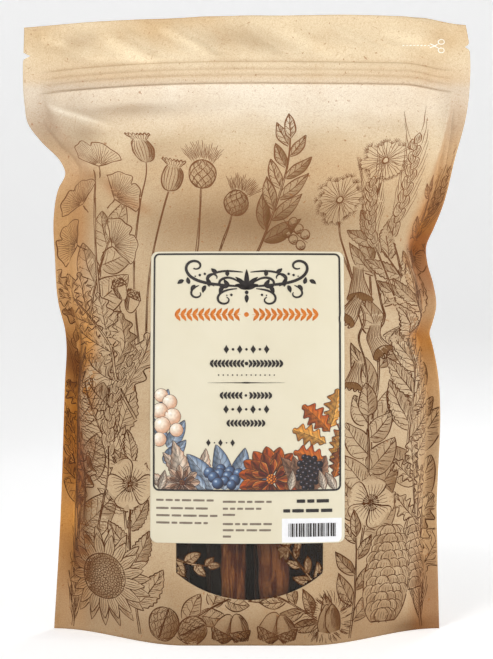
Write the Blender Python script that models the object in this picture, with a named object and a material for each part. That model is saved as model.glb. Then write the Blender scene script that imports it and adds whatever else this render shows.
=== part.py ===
"""A filled stand-up pouch of dried, sliced mushroom.

The pouch stands on its bottom gusset, with its front towards -Y and its width along X. Kraft front and back
panels are sealed together down both sides and across the top, and to the gusset along a U-shaped line. A
press-to-close zip runs under the header, a clear window is set in the front, a paper label is stuck over most
of the window, and the slices stand inside.
"""

import math
import random

import bmesh
import bpy
import numpy as np

MM = 0.001

# The flat bag and how it stands, in millimetres.
HEIGHT = 337.5
PLY = 0.5
GAP = 0.3
SEAL_WIDTH = 9.0
SEAL_HALF_GAP = GAP / 2
FLAT_HALF_WIDTH = 122.0

# Half widths of the outer edges, as (height, distance from the middle). Each side is pinched in twice.
LEFT_EDGE = [
    (0, 106.2), (60, 102.8), (135, 100.3), (156, 99.6), (166, 100.6), (178, 103.6), (205, 105.8), (228, 106.4),
    (243, 104.0), (252, 100.3), (259, 102.8), (271, 113.0), (283, 120.6), (295, 122.6), (338, 122.8),
]
RIGHT_EDGE = [
    (0, 106.4), (60, 105.1), (148, 104.6), (157, 102.8), (163, 101.4), (169, 103.0), (177, 104.8), (190, 103.2),
    (202, 100.0), (211, 99.5), (221, 103.6), (232, 108.0), (260, 115.0), (289, 121.8), (303, 123.3), (325, 123.0),
    (338, 120.8),
]

# Where the front face turns back towards the seal, as (height, distance from the middle).
LEFT_RIDGE = [
    (0, 86), (60, 88), (90, 85), (115, 89), (137, 88), (158, 79), (166, 80), (200, 84), (235, 84), (250, 83),
    (262, 88), (278, 100), (292, 108), (299, 112), (338, 112),
]
RIGHT_RIDGE = [
    (0, 86), (60, 88), (110, 89), (149, 90), (161, 87), (171, 94), (178, 92), (192, 89), (205, 86), (215, 84),
    (235, 92), (253, 100), (263, 104), (282, 109), (298, 112), (338, 112),
]

# How far each panel stands from the middle plane at its centre line, as (height, depth).
BULGE = [
    (0, 45.6), (20, 46.4), (50, 47.4), (90, 47.6), (140, 46.0), (180, 42.5), (210, 38.0), (240, 30.5),
    (262, 21.5), (282, 10.5), (294, 3.2), (299, 1.15), (300, 1.15),
]

# The header bows forwards and its top corners sag, more on the left.
HEADER_START = 235.0
HEADER_BOW = 11.0
LEFT_SAG = 5.5
RIGHT_SAG = 3.4
RIGHT_SAG_START = 85.0
SIDE_BEND = 4.0
PINCHES = {-1: (253.0, 160.0), 1: (211.0, 163.0)}
PINCH_HEIGHT = 13.0

# Across a panel: 0 is the middle, then the ridge, the seal's inner line, and 1 at the outer edge.
AT_RIDGE, AT_SEAL = 0.80, 0.93
RIDGE_SHARE = 0.86
FACE_POWER = 2.6
BASE_FLAT_SHARE = 0.3
BASE_BLEND_HEIGHT = 70.0

# Tear notches cut into the two edges of the header, as side, height, depth and half height.
NOTCHES = [(-1, 321.3, 4.2, 1.8), (1, 324.8, 2.6, 1.7)]

# The zip lies between the plies just under the header.
ZIP_BOTTOM, ZIP_TOP = 300.6, 310.4
ZIP_HALF_GAP = 1.3
ZIP_RAMP = 1.6
ZIP_HALF_LENGTH = 110.0

# The window in the front panel: straight sides with a shallow arc at each end.
WINDOW_MIDDLE_X, WINDOW_WIDTH = 1.6, 76.6
WINDOW_BOTTOM, WINDOW_TOP = 24.0, 112.0
WINDOW_ARC_RISE = 14.0
FILM_REACH, FILM_BOTTOM, FILM_TOP = 0.5, 10.0, 125.0
FILM_THICKNESS, FILM_CLEARANCE = 0.4, 0.7

# The label, 4 by 6 inches, stuck over the window's upper part.
LABEL_WIDTH, LABEL_HEIGHT = 101.6, 152.4
LABEL_MIDDLE_X, LABEL_BOTTOM = 0.5, 53.6
LABEL_CORNER = 3.5
LABEL_THICKNESS, LABEL_CLEARANCE = 0.35, 0.5

# The gusset is sealed along a U and hangs between the panels like the hull of a boat.
GUSSET_REACH = 0.87
GUSSET_FLAT_REACH = 0.48
GUSSET_SEAL_MIDDLE, GUSSET_SEAL_END = 5.0, 40.0
GUSSET_CLEARANCE = 1.6
GUSSET_FLAT_SHARE = 0.4

# The slices stand in rows from front to back, clear of the pouch and of each other.
SLICE_THICKNESS = 4.2
ROW_FIRST, ROW_STEP, ROW_COUNT = -26.0, 8.0, 8
COLUMN_STEP = 26.0
SLICE_FLOOR = 2.0
SLICE_SIDE_ROOM = 6.0
WINDOW_SLICES = [(-6.0, -34.0, 13.0, 98.0), (12.2, -38.0, 17.0, 118.0)]


def smoothstep(low, high, value):
    """0 below low, 1 above high, and a smooth S between them."""
    share = np.clip((np.asarray(value, float) - low) / (high - low), 0, 1)
    return share * share * (3 - 2 * share)


def through(points, at):
    """A smooth curve through (position, value) points, read at the positions given."""
    position, value = np.array(points, float).T
    at = np.clip(at, position[0], position[-1])
    span = np.clip(np.searchsorted(position, at, side="right") - 1, 0, len(position) - 2)
    slope = np.gradient(value, position)
    length = position[span + 1] - position[span]
    t = (at - position[span]) / length
    return (
        (2 * t**3 - 3 * t**2 + 1) * value[span]
        + (t**3 - 2 * t**2 + t) * length * slope[span]
        + (3 * t**2 - 2 * t**3) * value[span + 1]
        + (t**3 - t**2) * length * slope[span + 1]
    )


def edge_of(side, height):
    """Distance from the middle to the outer edge, with the tear notch cut in."""
    edge = through(LEFT_EDGE if side < 0 else RIGHT_EDGE, height)
    for notch_side, notch_height, depth, half_height in NOTCHES:
        if notch_side == side:
            edge = edge - depth * np.clip(1 - abs(height - notch_height) / half_height, 0, 1)
    return edge


def ridge_of(side, height):
    return through(LEFT_RIDGE if side < 0 else RIGHT_RIDGE, height)


def distance_out(side, across, height):
    """Distance from the middle for a place across one half of a panel."""
    edge = edge_of(side, height)
    seal = through(LEFT_EDGE if side < 0 else RIGHT_EDGE, height) - SEAL_WIDTH
    ridge = np.minimum(ridge_of(side, height), seal - 1)
    inner = ridge * across / AT_RIDGE
    wall = ridge + (seal - ridge) * (across - AT_RIDGE) / (AT_SEAL - AT_RIDGE)
    fin = seal + (edge - seal) * (across - AT_SEAL) / (1 - AT_SEAL)
    return np.where(across <= AT_RIDGE, inner, np.where(across <= AT_SEAL, wall, fin))


def depth_of(side, across, height):
    """Half the room between the plies: a rounded face above, and an S-shaped plan at the base."""
    out = distance_out(side, across, height)
    turned = np.where(
        across <= AT_RIDGE,
        RIDGE_SHARE * across / AT_RIDGE,
        RIDGE_SHARE + (1 - RIDGE_SHARE) * np.clip((across - AT_RIDGE) / (AT_SEAL - AT_RIDGE), 0, 1),
    )
    face = np.sqrt(np.clip(1 - turned**FACE_POWER, 0, 1))
    base = 1 - smoothstep(BASE_FLAT_SHARE, 1, out / through(LEFT_EDGE if side < 0 else RIGHT_EDGE, height))
    blend = smoothstep(0, BASE_BLEND_HEIGHT, height)
    room = SEAL_HALF_GAP + through(BULGE, height) * (base + (face - base) * blend)
    header = smoothstep(ZIP_BOTTOM - ZIP_RAMP, ZIP_BOTTOM, height)
    in_zip = header * (1 - smoothstep(ZIP_TOP, ZIP_TOP + ZIP_RAMP, height))
    between_seals = 1 - smoothstep(AT_RIDGE, AT_SEAL, across)
    flat = SEAL_HALF_GAP + (ZIP_HALF_GAP - SEAL_HALF_GAP) * in_zip * between_seals
    return room + (flat - room) * header


def middle_of(side, out, height):
    """The Y of the middle surface: the header bows forwards and each pinch pushes the side seal back."""
    share = out / FLAT_HALF_WIDTH
    bow = HEADER_BOW * smoothstep(HEADER_START, HEIGHT, height) * (1 - share**2)
    bend = sum(np.exp(-(((height - pinch) / PINCH_HEIGHT) ** 2)) for pinch in PINCHES[side])
    return SIDE_BEND * bend * smoothstep(0.6, 1, share) - bow


def sag_of(side, out, height):
    share = smoothstep(HEADER_START, ZIP_BOTTOM, height)
    if side < 0:
        return share * LEFT_SAG * (out / FLAT_HALF_WIDTH) ** 2.2
    return share * RIGHT_SAG * smoothstep(RIGHT_SAG_START, FLAT_HALF_WIDTH - SEAL_WIDTH, out)


def panel_face(facing, across, height):
    """Points of the inner face of the front (-1) or back (1) panel. across is below 0 on the left."""
    across, height = np.broadcast_arrays(np.asarray(across, float), np.asarray(height, float))
    halves = []
    for side in (-1, 1):
        out = distance_out(side, abs(across), height)
        y = middle_of(side, out, height) + facing * depth_of(side, abs(across), height)
        halves.append(np.stack([side * out, y, height - sag_of(side, out, height)], axis=-1))
    return np.where((across < 0)[..., None], halves[0], halves[1])


def outward(facing, across, height):
    """Unit normals of a panel, pointing out of the pouch, from small steps along its face."""
    step = 1e-3
    lift = 0.05
    along = panel_face(facing, across + step, height) - panel_face(facing, across - step, height)
    up = panel_face(facing, across, height + lift) - panel_face(facing, across, height - lift)
    normal = np.cross(along, up) * -facing
    return normal / np.linalg.norm(normal, axis=-1, keepdims=True)


def across_at(x, height):
    """The place across the front panel that lies x millimetres from the middle, inside the ridges."""
    ridge = np.where(x < 0, ridge_of(-1, height), ridge_of(1, height))
    return AT_RIDGE * x / ridge


def material(name, colour, roughness, alpha=1.0):
    made = bpy.data.materials.new(name)
    made.use_nodes = True
    shader = made.node_tree.nodes["Principled BSDF"]
    shader.inputs["Base Color"].default_value = (*colour, 1)
    shader.inputs["Roughness"].default_value = roughness
    shader.inputs["Metallic"].default_value = 0
    shader.inputs["Alpha"].default_value = alpha
    return made


def new_object(name, mesh, finish):
    made = bpy.data.objects.new(name, mesh)
    made.data.materials.append(finish)
    bpy.context.scene.collection.objects.link(made)
    return made


def sheet(name, points, finish, thickness):
    """A thin sheet from a grid of points in millimetres, thickened on the side that its faces look to."""
    rows, columns = points.shape[:2]
    index = np.arange(rows * columns).reshape(rows, columns)
    quads = np.stack([index[:-1, :-1], index[:-1, 1:], index[1:, 1:], index[1:, :-1]], axis=-1).reshape(-1, 4)
    mesh = bpy.data.meshes.new(name)
    mesh.from_pydata((points.reshape(-1, 3) * MM).tolist(), [], quads.tolist())
    mesh.shade_smooth()
    made = new_object(name, mesh, finish)
    wall = made.modifiers.new("thickness", "SOLIDIFY")
    wall.thickness = thickness * MM
    wall.offset = 1
    return made


def both_sides(half):
    return np.array([-place for place in half[:0:-1]] + list(half))


PANEL_ACROSS = both_sides([0, 0.14, 0.27, 0.38, 0.48, 0.58, 0.67, 0.74, AT_RIDGE, 0.87, AT_SEAL, 1])
PANEL_HEIGHTS = np.array([
    0.05, 14, 28, 42, 58, 78, 100, 120, 140, 152, 162, 173, 184, 196, 205, 213, 224, 238, 247, 254, 262, 272, 283,
    292, 299, 300.6, 310.4, 312, 319.5, 321.3, 323.1, 324.8, 326.5, HEIGHT,
])


def front_panel(kraft):
    """The front ply, with the window cut through it."""
    across, height = np.meshgrid(PANEL_ACROSS, PANEL_HEIGHTS)
    panel = sheet("front_panel", panel_face(-1, across, height), kraft, PLY)
    cut = panel.modifiers.new("window", "BOOLEAN")
    cut.operation = "DIFFERENCE"
    cut.object = window_cutter()


def back_panel(kraft):
    across, height = np.meshgrid(PANEL_ACROSS[::-1], PANEL_HEIGHTS)
    sheet("back_panel", panel_face(1, across, height), kraft, PLY)


def window_cutter():
    """A prism of the window's outline, reaching through the front panel only."""
    half = WINDOW_WIDTH / 2
    radius = (half**2 + WINDOW_ARC_RISE**2) / (2 * WINDOW_ARC_RISE)
    steps = 10
    xs = np.linspace(-half, half, steps + 1)
    rise = np.sqrt(radius**2 - xs**2) - (radius - WINDOW_ARC_RISE)
    bottom = [(x, WINDOW_BOTTOM + WINDOW_ARC_RISE - r) for x, r in zip(xs, rise)]
    top = [(x, WINDOW_TOP - WINDOW_ARC_RISE + r) for x, r in zip(xs[::-1], rise[::-1])]
    near, far = -70.0, -8.0
    shape = bmesh.new()
    corners = [shape.verts.new(((x + WINDOW_MIDDLE_X) * MM, near * MM, z * MM)) for x, z in bottom + top]
    face = shape.faces.new(corners)
    pushed = bmesh.ops.extrude_face_region(shape, geom=[face])["geom"]
    moved = [item for item in pushed if isinstance(item, bmesh.types.BMVert)]
    bmesh.ops.translate(shape, verts=moved, vec=(0, (far - near) * MM, 0))
    bmesh.ops.recalc_face_normals(shape, faces=shape.faces)
    mesh = bpy.data.meshes.new("window_cutter")
    shape.to_mesh(mesh)
    shape.free()
    cutter = bpy.data.objects.new("window_cutter", mesh)
    cutter.hide_render = True
    cutter.display_type = "WIRE"
    bpy.context.scene.collection.objects.link(cutter)
    return cutter


def on_front(x, height, offset):
    """Points on the front panel's inner face, moved outwards by offset."""
    across = across_at(x, height)
    return panel_face(-1, across, height) + offset * outward(-1, across, height)


def window_film(clear):
    """Clear film sealed behind the window, reaching past the opening all round."""
    columns = PANEL_ACROSS[abs(PANEL_ACROSS) < FILM_REACH]
    rows = PANEL_HEIGHTS[(PANEL_HEIGHTS > FILM_BOTTOM) & (PANEL_HEIGHTS < FILM_TOP)]
    across, height = np.meshgrid(columns, rows)
    points = panel_face(-1, across, height) - (FILM_CLEARANCE + FILM_THICKNESS) * outward(-1, across, height)
    sheet("window_film", points, clear, FILM_THICKNESS)


def label(paper):
    """The paper label, with its corner points drawn in to round them."""
    xs = LABEL_MIDDLE_X + LABEL_WIDTH * (np.linspace(0, 1, 11) - 0.5)
    heights = LABEL_BOTTOM + LABEL_HEIGHT * np.linspace(0, 1, 13)
    xs[[1, -2]] = xs[0] + LABEL_CORNER, xs[-1] - LABEL_CORNER
    heights[[1, -2]] = heights[0] + LABEL_CORNER, heights[-1] - LABEL_CORNER
    x, height = np.meshgrid(xs, heights)
    drawn_in = LABEL_CORNER * (1 - math.sqrt(0.5))
    for row, up in ((0, 1), (-1, -1)):
        for column, right in ((0, 1), (-1, -1)):
            x[row, column] += right * drawn_in
            height[row, column] += up * drawn_in
    sheet("label", on_front(x, height, PLY + LABEL_CLEARANCE), paper, LABEL_THICKNESS)


def seal_height(across):
    """Height of the U-shaped line along which the gusset is sealed to the panels."""
    return GUSSET_SEAL_MIDDLE + (GUSSET_SEAL_END - GUSSET_SEAL_MIDDLE) * (abs(across) / GUSSET_REACH) ** 2.2


def gusset_height(across, place):
    """Height of the gusset's underside. place runs from -1 at the front seal line to 1 at the back one."""
    seal = seal_height(across)
    lowest = np.minimum(GUSSET_SEAL_END * smoothstep(GUSSET_FLAT_REACH, GUSSET_REACH, abs(across)), seal)
    rise = np.clip((abs(place) - GUSSET_FLAT_SHARE) / (1 - GUSSET_FLAT_SHARE), 0, 1) ** 2
    return lowest + (seal - lowest) * rise


def gusset(kraft):
    """The bottom gusset, flat on the ground in the middle and rising to the seal line all round."""
    half = [0, 0.14, 0.27, 0.38, 0.48, 0.58, 0.67, 0.74, AT_RIDGE, GUSSET_REACH]
    places = [-1, -0.88, -0.72, -0.55, -GUSSET_FLAT_SHARE, 0, GUSSET_FLAT_SHARE, 0.55, 0.72, 0.88, 1]
    across, place = np.meshgrid(both_sides(half), places)
    front = panel_face(-1, across, seal_height(across)) + [0, GUSSET_CLEARANCE, 0]
    back = panel_face(1, across, seal_height(across)) - [0, GUSSET_CLEARANCE, 0]
    points = (front + back) / 2 + place[..., None] * (back - front) / 2
    points[..., 2] = gusset_height(across, place)
    sheet("bottom_gusset", points, kraft, PLY)


def zip_track(name, outline, plastic):
    """A zip track: its section, as (distance behind the middle surface, height), drawn along the header."""
    xs = np.linspace(-ZIP_HALF_LENGTH, ZIP_HALF_LENGTH, 15)
    sections = []
    for x in xs:
        side = -1 if x < 0 else 1
        rows = []
        for behind, up in outline:
            height = ZIP_BOTTOM + up
            y = float(middle_of(side, abs(x), height)) + behind
            rows.append((x * MM, y * MM, (height - float(sag_of(side, abs(x), height))) * MM))
        sections.append(rows)
    shape = bmesh.new()
    rings = [[shape.verts.new(point) for point in rows] for rows in sections]
    for ring, following in zip(rings, rings[1:]):
        for place in range(len(outline)):
            after = (place + 1) % len(outline)
            shape.faces.new([ring[place], ring[after], following[after], following[place]])
    shape.faces.new(rings[0])
    shape.faces.new(rings[-1])
    bmesh.ops.recalc_face_normals(shape, faces=shape.faces)
    mesh = bpy.data.meshes.new(name)
    shape.to_mesh(mesh)
    shape.free()
    new_object(name, mesh, plastic)


def zip_tracks(plastic):
    """The grooved track on the front ply and the ribbed track on the back ply, pressed together."""
    bottom, top = 0.4, 9.4
    skin, base = ZIP_HALF_GAP - GAP, ZIP_HALF_GAP - GAP - 0.4
    jaw_tip, rib_tip = 0.1, -0.25
    grooved = [
        (-skin, bottom), (-base, bottom), (-base, 3.4), (jaw_tip, 3.4), (jaw_tip, 4.2), (-base, 4.2),
        (-base, 5.6), (jaw_tip, 5.6), (jaw_tip, 6.4), (-base, 6.4), (-base, top), (-skin, top),
    ]
    ribbed = [(skin, bottom), (skin, top), (base, top), (base, 5.3), (rib_tip, 5.3), (rib_tip, 4.5), (base, 4.5),
              (base, bottom)]
    zip_track("zip_grooved_track", grooved, plastic)
    zip_track("zip_ribbed_track", ribbed, plastic)


def slice_outline(width, length, bend, waver):
    """The outline of one slice standing on end: a long bowed strip with blunt, uneven ends."""
    stations = 6
    left, right = [], []
    for step in range(stations):
        share = step / (stations - 1)
        half = width / 2 * (0.62 + 0.38 * math.sin(math.pi * share) ** 0.5)
        middle = bend * math.sin(math.pi * share)
        wave = waver[step]
        left.append((middle - half + wave, length * share))
        right.append((middle + half + 0.6 * wave, length * share))
    return left + right[::-1]


def mushroom_slice(name, flesh, place, width, length, turn, rng):
    """One dried slice, cut across the cap and standing on its end, with its cut face to the front."""
    bend = rng.uniform(-1.5, 1.5)
    waver = [rng.uniform(-0.8, 0.8) for _ in range(6)]
    outline = slice_outline(width, length, bend, waver)
    shape = bmesh.new()
    half = SLICE_THICKNESS / 2
    face = shape.faces.new([shape.verts.new((x * MM, -half * MM, z * MM)) for x, z in outline])
    pushed = bmesh.ops.extrude_face_region(shape, geom=[face])["geom"]
    moved = [item for item in pushed if isinstance(item, bmesh.types.BMVert)]
    bmesh.ops.translate(shape, verts=moved, vec=(0, SLICE_THICKNESS * MM, 0))
    bmesh.ops.recalc_face_normals(shape, faces=shape.faces)
    mesh = bpy.data.meshes.new(name)
    shape.to_mesh(mesh)
    shape.free()
    made = new_object(name, mesh, flesh)
    made.location = [value * MM for value in place]
    made.rotation_euler = turn


def floor_under(x, y):
    """Height at which a slice standing at x, y clears the gusset."""
    across = across_at(abs(x) + COLUMN_STEP / 2, SLICE_FLOOR)
    depth = depth_of(1, across, seal_height(across)) - GUSSET_CLEARANCE
    place = np.minimum((abs(y) + SLICE_THICKNESS / 2) / depth, 1)
    return float(gusset_height(across, place)) + SLICE_FLOOR


def slices(flesh):
    """Two slices against the window, then rows of slices filling the pouch to about half its height."""
    rng = random.Random(12)
    number = 0
    for x, y, width, length in WINDOW_SLICES:
        number += 1
        turn = (math.radians(-0.6), math.radians(1.2 if x > 0 else -0.8), 0)
        mushroom_slice(f"slice_{number:02d}", flesh, (x, y, floor_under(x, y)), width, length, turn, rng)
    for row in range(ROW_COUNT):
        y = ROW_FIRST + row * ROW_STEP
        reach = widest(abs(y) + SLICE_THICKNESS / 2 + 3) - SLICE_SIDE_ROOM
        columns = int(2 * reach / COLUMN_STEP)
        for column in range(columns):
            number += 1
            x = (column - (columns - 1) / 2) * COLUMN_STEP + rng.uniform(-0.8, 0.8)
            length = rng.uniform(95, 150)
            turn = (math.radians(rng.uniform(-0.4, 0.4)), math.radians(rng.uniform(-1.4, 1.4)), 0)
            name = f"slice_{number:02d}"
            mushroom_slice(name, flesh, (x, y, floor_under(x, y)), rng.uniform(16, 20), length, turn, rng)


def widest(y):
    """Distance from the middle at which the pouch's base is still y millimetres deep."""
    places = np.linspace(0, AT_SEAL, 200)
    low = depth_of(1, places, np.full(places.shape, GUSSET_SEAL_MIDDLE))
    return float(np.interp(-y, -low, distance_out(1, places, np.full(places.shape, GUSSET_SEAL_MIDDLE))))


for old in list(bpy.data.objects):
    bpy.data.objects.remove(old, do_unlink=True)

KRAFT = material("kraft", (0.52, 0.36, 0.21), 0.62)
CLEAR = material("clear_film", (0.55, 0.5, 0.45), 0.12, alpha=0.2)
PAPER = material("label_paper", (0.83, 0.78, 0.64), 0.45)
PLASTIC = material("zip_plastic", (0.8, 0.8, 0.78), 0.35)
FLESH = material("dried_slice", (0.30, 0.15, 0.08), 0.8)

front_panel(KRAFT)
back_panel(KRAFT)
gusset(KRAFT)
zip_tracks(PLASTIC)
window_film(CLEAR)
label(PAPER)
slices(FLESH)
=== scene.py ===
"""The looks of a filled stand-up pouch of dried, sliced mushroom: kraft laminate, print, label, window, slices."""

import math

import bpy
import numpy as np
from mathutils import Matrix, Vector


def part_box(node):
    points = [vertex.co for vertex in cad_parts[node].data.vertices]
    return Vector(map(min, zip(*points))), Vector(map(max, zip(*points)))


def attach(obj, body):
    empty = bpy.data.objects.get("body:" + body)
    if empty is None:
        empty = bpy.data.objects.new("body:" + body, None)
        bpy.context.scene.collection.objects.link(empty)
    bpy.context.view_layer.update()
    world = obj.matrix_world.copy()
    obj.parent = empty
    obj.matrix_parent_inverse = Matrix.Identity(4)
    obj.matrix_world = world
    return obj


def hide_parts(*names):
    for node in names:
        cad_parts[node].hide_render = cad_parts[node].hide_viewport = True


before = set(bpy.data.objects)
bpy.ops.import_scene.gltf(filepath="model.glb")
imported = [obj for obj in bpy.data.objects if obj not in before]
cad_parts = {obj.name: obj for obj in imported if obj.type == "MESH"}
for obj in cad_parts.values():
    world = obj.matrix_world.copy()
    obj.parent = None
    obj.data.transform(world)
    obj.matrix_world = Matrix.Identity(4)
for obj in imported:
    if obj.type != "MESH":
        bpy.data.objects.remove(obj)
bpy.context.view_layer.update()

MM = 0.001


# ---------------------------------------------------------------------------------------------------------------
# The camera stands square in front of the pouch, at half its height, as for a shop's own picture of it.

CAMERA_DISTANCE, CAMERA_HEIGHT = 0.830, 0.165
FOCAL_PIXELS, PHOTO_HEIGHT, SENSOR = 1503, 659, 36.0

camera = bpy.data.objects.new("camera", bpy.data.cameras.new("camera"))
camera.data.lens = FOCAL_PIXELS * SENSOR / PHOTO_HEIGHT
camera.data.sensor_width = SENSOR
camera.location = (0, -CAMERA_DISTANCE, CAMERA_HEIGHT)
camera.rotation_euler = (math.pi / 2, 0, 0)
bpy.context.scene.collection.objects.link(camera)
bpy.context.scene.camera = camera
bpy.context.scene.view_settings.view_transform = "Standard"


# ---------------------------------------------------------------------------------------------------------------
# The laminate: brown kraft paper on a barrier film, about 0.15 mm thick. Two plies are heat-sealed together down
# both sides and across the header, and the filling pushes them apart. Flat, the bag is a plain rectangle; filled,
# its sides draw in, and they are pinched where the filling ends.

HEIGHT = 337.5
FLAT_HALF_WIDTH = 122.0
SEAL_WIDTH = 9.0
PLY = 0.22
SEAL_HALF_GAP = 0.02

LEFT_EDGE = [
    (0, 106.2), (60, 102.8), (135, 100.3), (156, 99.6), (166, 100.6), (178, 103.6), (205, 105.8), (228, 106.4),
    (243, 104.0), (252, 100.3), (259, 102.8), (271, 113.0), (283, 120.6), (295, 122.6), (338, 122.8),
]
RIGHT_EDGE = [
    (0, 106.4), (60, 105.1), (148, 104.6), (157, 102.8), (163, 101.4), (169, 103.0), (177, 104.8), (190, 103.2),
    (202, 100.0), (211, 99.5), (221, 103.6), (232, 108.0), (260, 115.0), (289, 121.8), (303, 123.3), (325, 123.0),
    (338, 120.8),
]
LEFT_RIDGE = [
    (0, 86), (60, 88), (90, 85), (115, 89), (137, 88), (158, 79), (166, 80), (200, 84), (235, 84), (250, 83),
    (262, 88), (278, 100), (292, 108), (299, 112), (338, 112),
]
RIGHT_RIDGE = [
    (0, 86), (60, 88), (110, 89), (149, 90), (161, 87), (171, 94), (178, 92), (192, 89), (205, 86), (215, 84),
    (235, 92), (253, 100), (263, 104), (282, 109), (298, 112), (338, 112),
]
BULGE = [
    (0, 45.6), (20, 46.4), (50, 47.4), (90, 47.6), (140, 46.0), (180, 42.5), (210, 38.0), (240, 30.5),
    (262, 21.5), (282, 10.5), (294, 3.2), (299, 1.15), (300, 1.15),
]
HEADER_START, HEADER_BOW = 235.0, 11.0
LEFT_SAG, RIGHT_SAG, RIGHT_SAG_START = 5.5, 3.4, 85.0
SIDE_BEND, PINCH_HEIGHT = 4.0, 13.0
PINCHES = {-1: (253.0, 160.0), 1: (211.0, 163.0)}
AT_RIDGE, AT_SEAL, FACE_POWER = 0.80, 0.93, 2.6
# How softly the ply turns at the ridge, by height, and how far the top edge is cut below the full height, by x.
SOFTNESS = {
    -1: [(0, 0.06), (120, 0.06), (158, 0.025), (200, 0.05), (240, 0.03), (262, 0.03), (290, 0.02), (338, 0.02)],
    1: [(0, 0.06), (135, 0.05), (160, 0.02), (215, 0.012), (245, 0.012), (290, 0.012), (338, 0.02)],
}
SEAL_SOFTNESS = [(0, 0.03), (235, 0.03), (262, 0.012), (338, 0.012)]
TOP_TRIM = [(-123, 0.2), (-111, 1.0), (-86, 1.3), (-60, 1.7), (-40, 2.1), (-15, 1.7), (12, 1.5), (30, 1.0),
            (54, 0.3), (80, 0.7), (91, 1.0), (99, 0.0), (108, 0.2), (116, 1.0), (123, 1.2)]
BASE_FLAT_SHARE, BASE_BLEND_HEIGHT = 0.3, 70.0
NOTCHES = [(-1, 321.3, 4.2, 1.8), (1, 324.8, 2.6, 1.7)]
ZIP_BOTTOM, ZIP_TOP, ZIP_RAMP, ZIP_HALF_GAP = 300.6, 310.4, 1.6, 1.3
ZIP_FADE, LINE_FADE = (94.0, 113.0), (106.0, 118.0)


def smoothstep(low, high, value):
    """0 below low, 1 above high, and 3t^2 - 2t^3 of the share t between them."""
    share = np.clip((np.asarray(value, float) - low) / (high - low), 0, 1)
    return share * share * (3 - 2 * share)


def through(points, at):
    """A cubic Hermite curve through (position, value) points, with each slope taken from its neighbours."""
    position, value = np.array(points, float).T
    at = np.clip(at, position[0], position[-1])
    span = np.clip(np.searchsorted(position, at, side="right") - 1, 0, len(position) - 2)
    slope = np.gradient(value, position)
    length = position[span + 1] - position[span]
    t = (at - position[span]) / length
    return (
        (2 * t**3 - 3 * t**2 + 1) * value[span]
        + (t**3 - 2 * t**2 + t) * length * slope[span]
        + (3 * t**2 - 2 * t**3) * value[span + 1]
        + (t**3 - t**2) * length * slope[span + 1]
    )


def by_side(x, left, right, height):
    """The value at a height, from the list for the side on which x lies."""
    return np.where(np.asarray(x) < 0, through(left, height), through(right, height))


def rounded_turn(past, reach):
    """0 before a corner and rising by 1 for 1 after it, joined by a parabola within reach of it."""
    return np.where(abs(past) < reach, (past + reach) ** 2 / (4 * reach), np.maximum(past, 0))


def half_width(side, across, height):
    """Distance from the middle: straight lines through the ridge, the seal's inner line and the outer edge, with
    their corners rounded."""
    outer = by_side(side, LEFT_EDGE, RIGHT_EDGE, height)
    seal = outer - SEAL_WIDTH
    ridge = np.minimum(by_side(side, LEFT_RIDGE, RIGHT_RIDGE, height), seal - 1)
    for notch_side, notch_height, depth, half_height in NOTCHES:
        if notch_side == side:
            outer = outer - depth * np.clip(1 - abs(height - notch_height) / half_height, 0, 1)
    face, wall, fin = ridge / AT_RIDGE, (seal - ridge) / (AT_SEAL - AT_RIDGE), (outer - seal) / (1 - AT_SEAL)
    at_ridge = rounded_turn(across - AT_RIDGE, through(SOFTNESS[side], height))
    at_seal = rounded_turn(across - AT_SEAL, through(SEAL_SOFTNESS, height))
    return face * across + (wall - face) * at_ridge + (fin - wall) * at_seal


def half_depth(side, across, out, height):
    """Half the room between the plies. Above, it is the root of 1 - share^2.6; at the base, a smooth S."""
    turned = np.clip(across / AT_SEAL, 0, 1)
    face = np.sqrt(np.clip(1 - turned**FACE_POWER, 0, 1))
    outer = by_side(side, LEFT_EDGE, RIGHT_EDGE, height)
    base = 1 - smoothstep(BASE_FLAT_SHARE, 1, out / outer)
    blend = smoothstep(0, BASE_BLEND_HEIGHT, height)
    room = SEAL_HALF_GAP + through(BULGE, height) * (base + (face - base) * blend)
    header = smoothstep(ZIP_BOTTOM - ZIP_RAMP, ZIP_BOTTOM, height)
    in_zip = header * (1 - smoothstep(ZIP_TOP, ZIP_TOP + ZIP_RAMP, height))
    between_seals = 1 - smoothstep(*ZIP_FADE, out)
    flat = SEAL_HALF_GAP + (ZIP_HALF_GAP - SEAL_HALF_GAP) * in_zip * between_seals
    return room + (flat - room) * header


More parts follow.
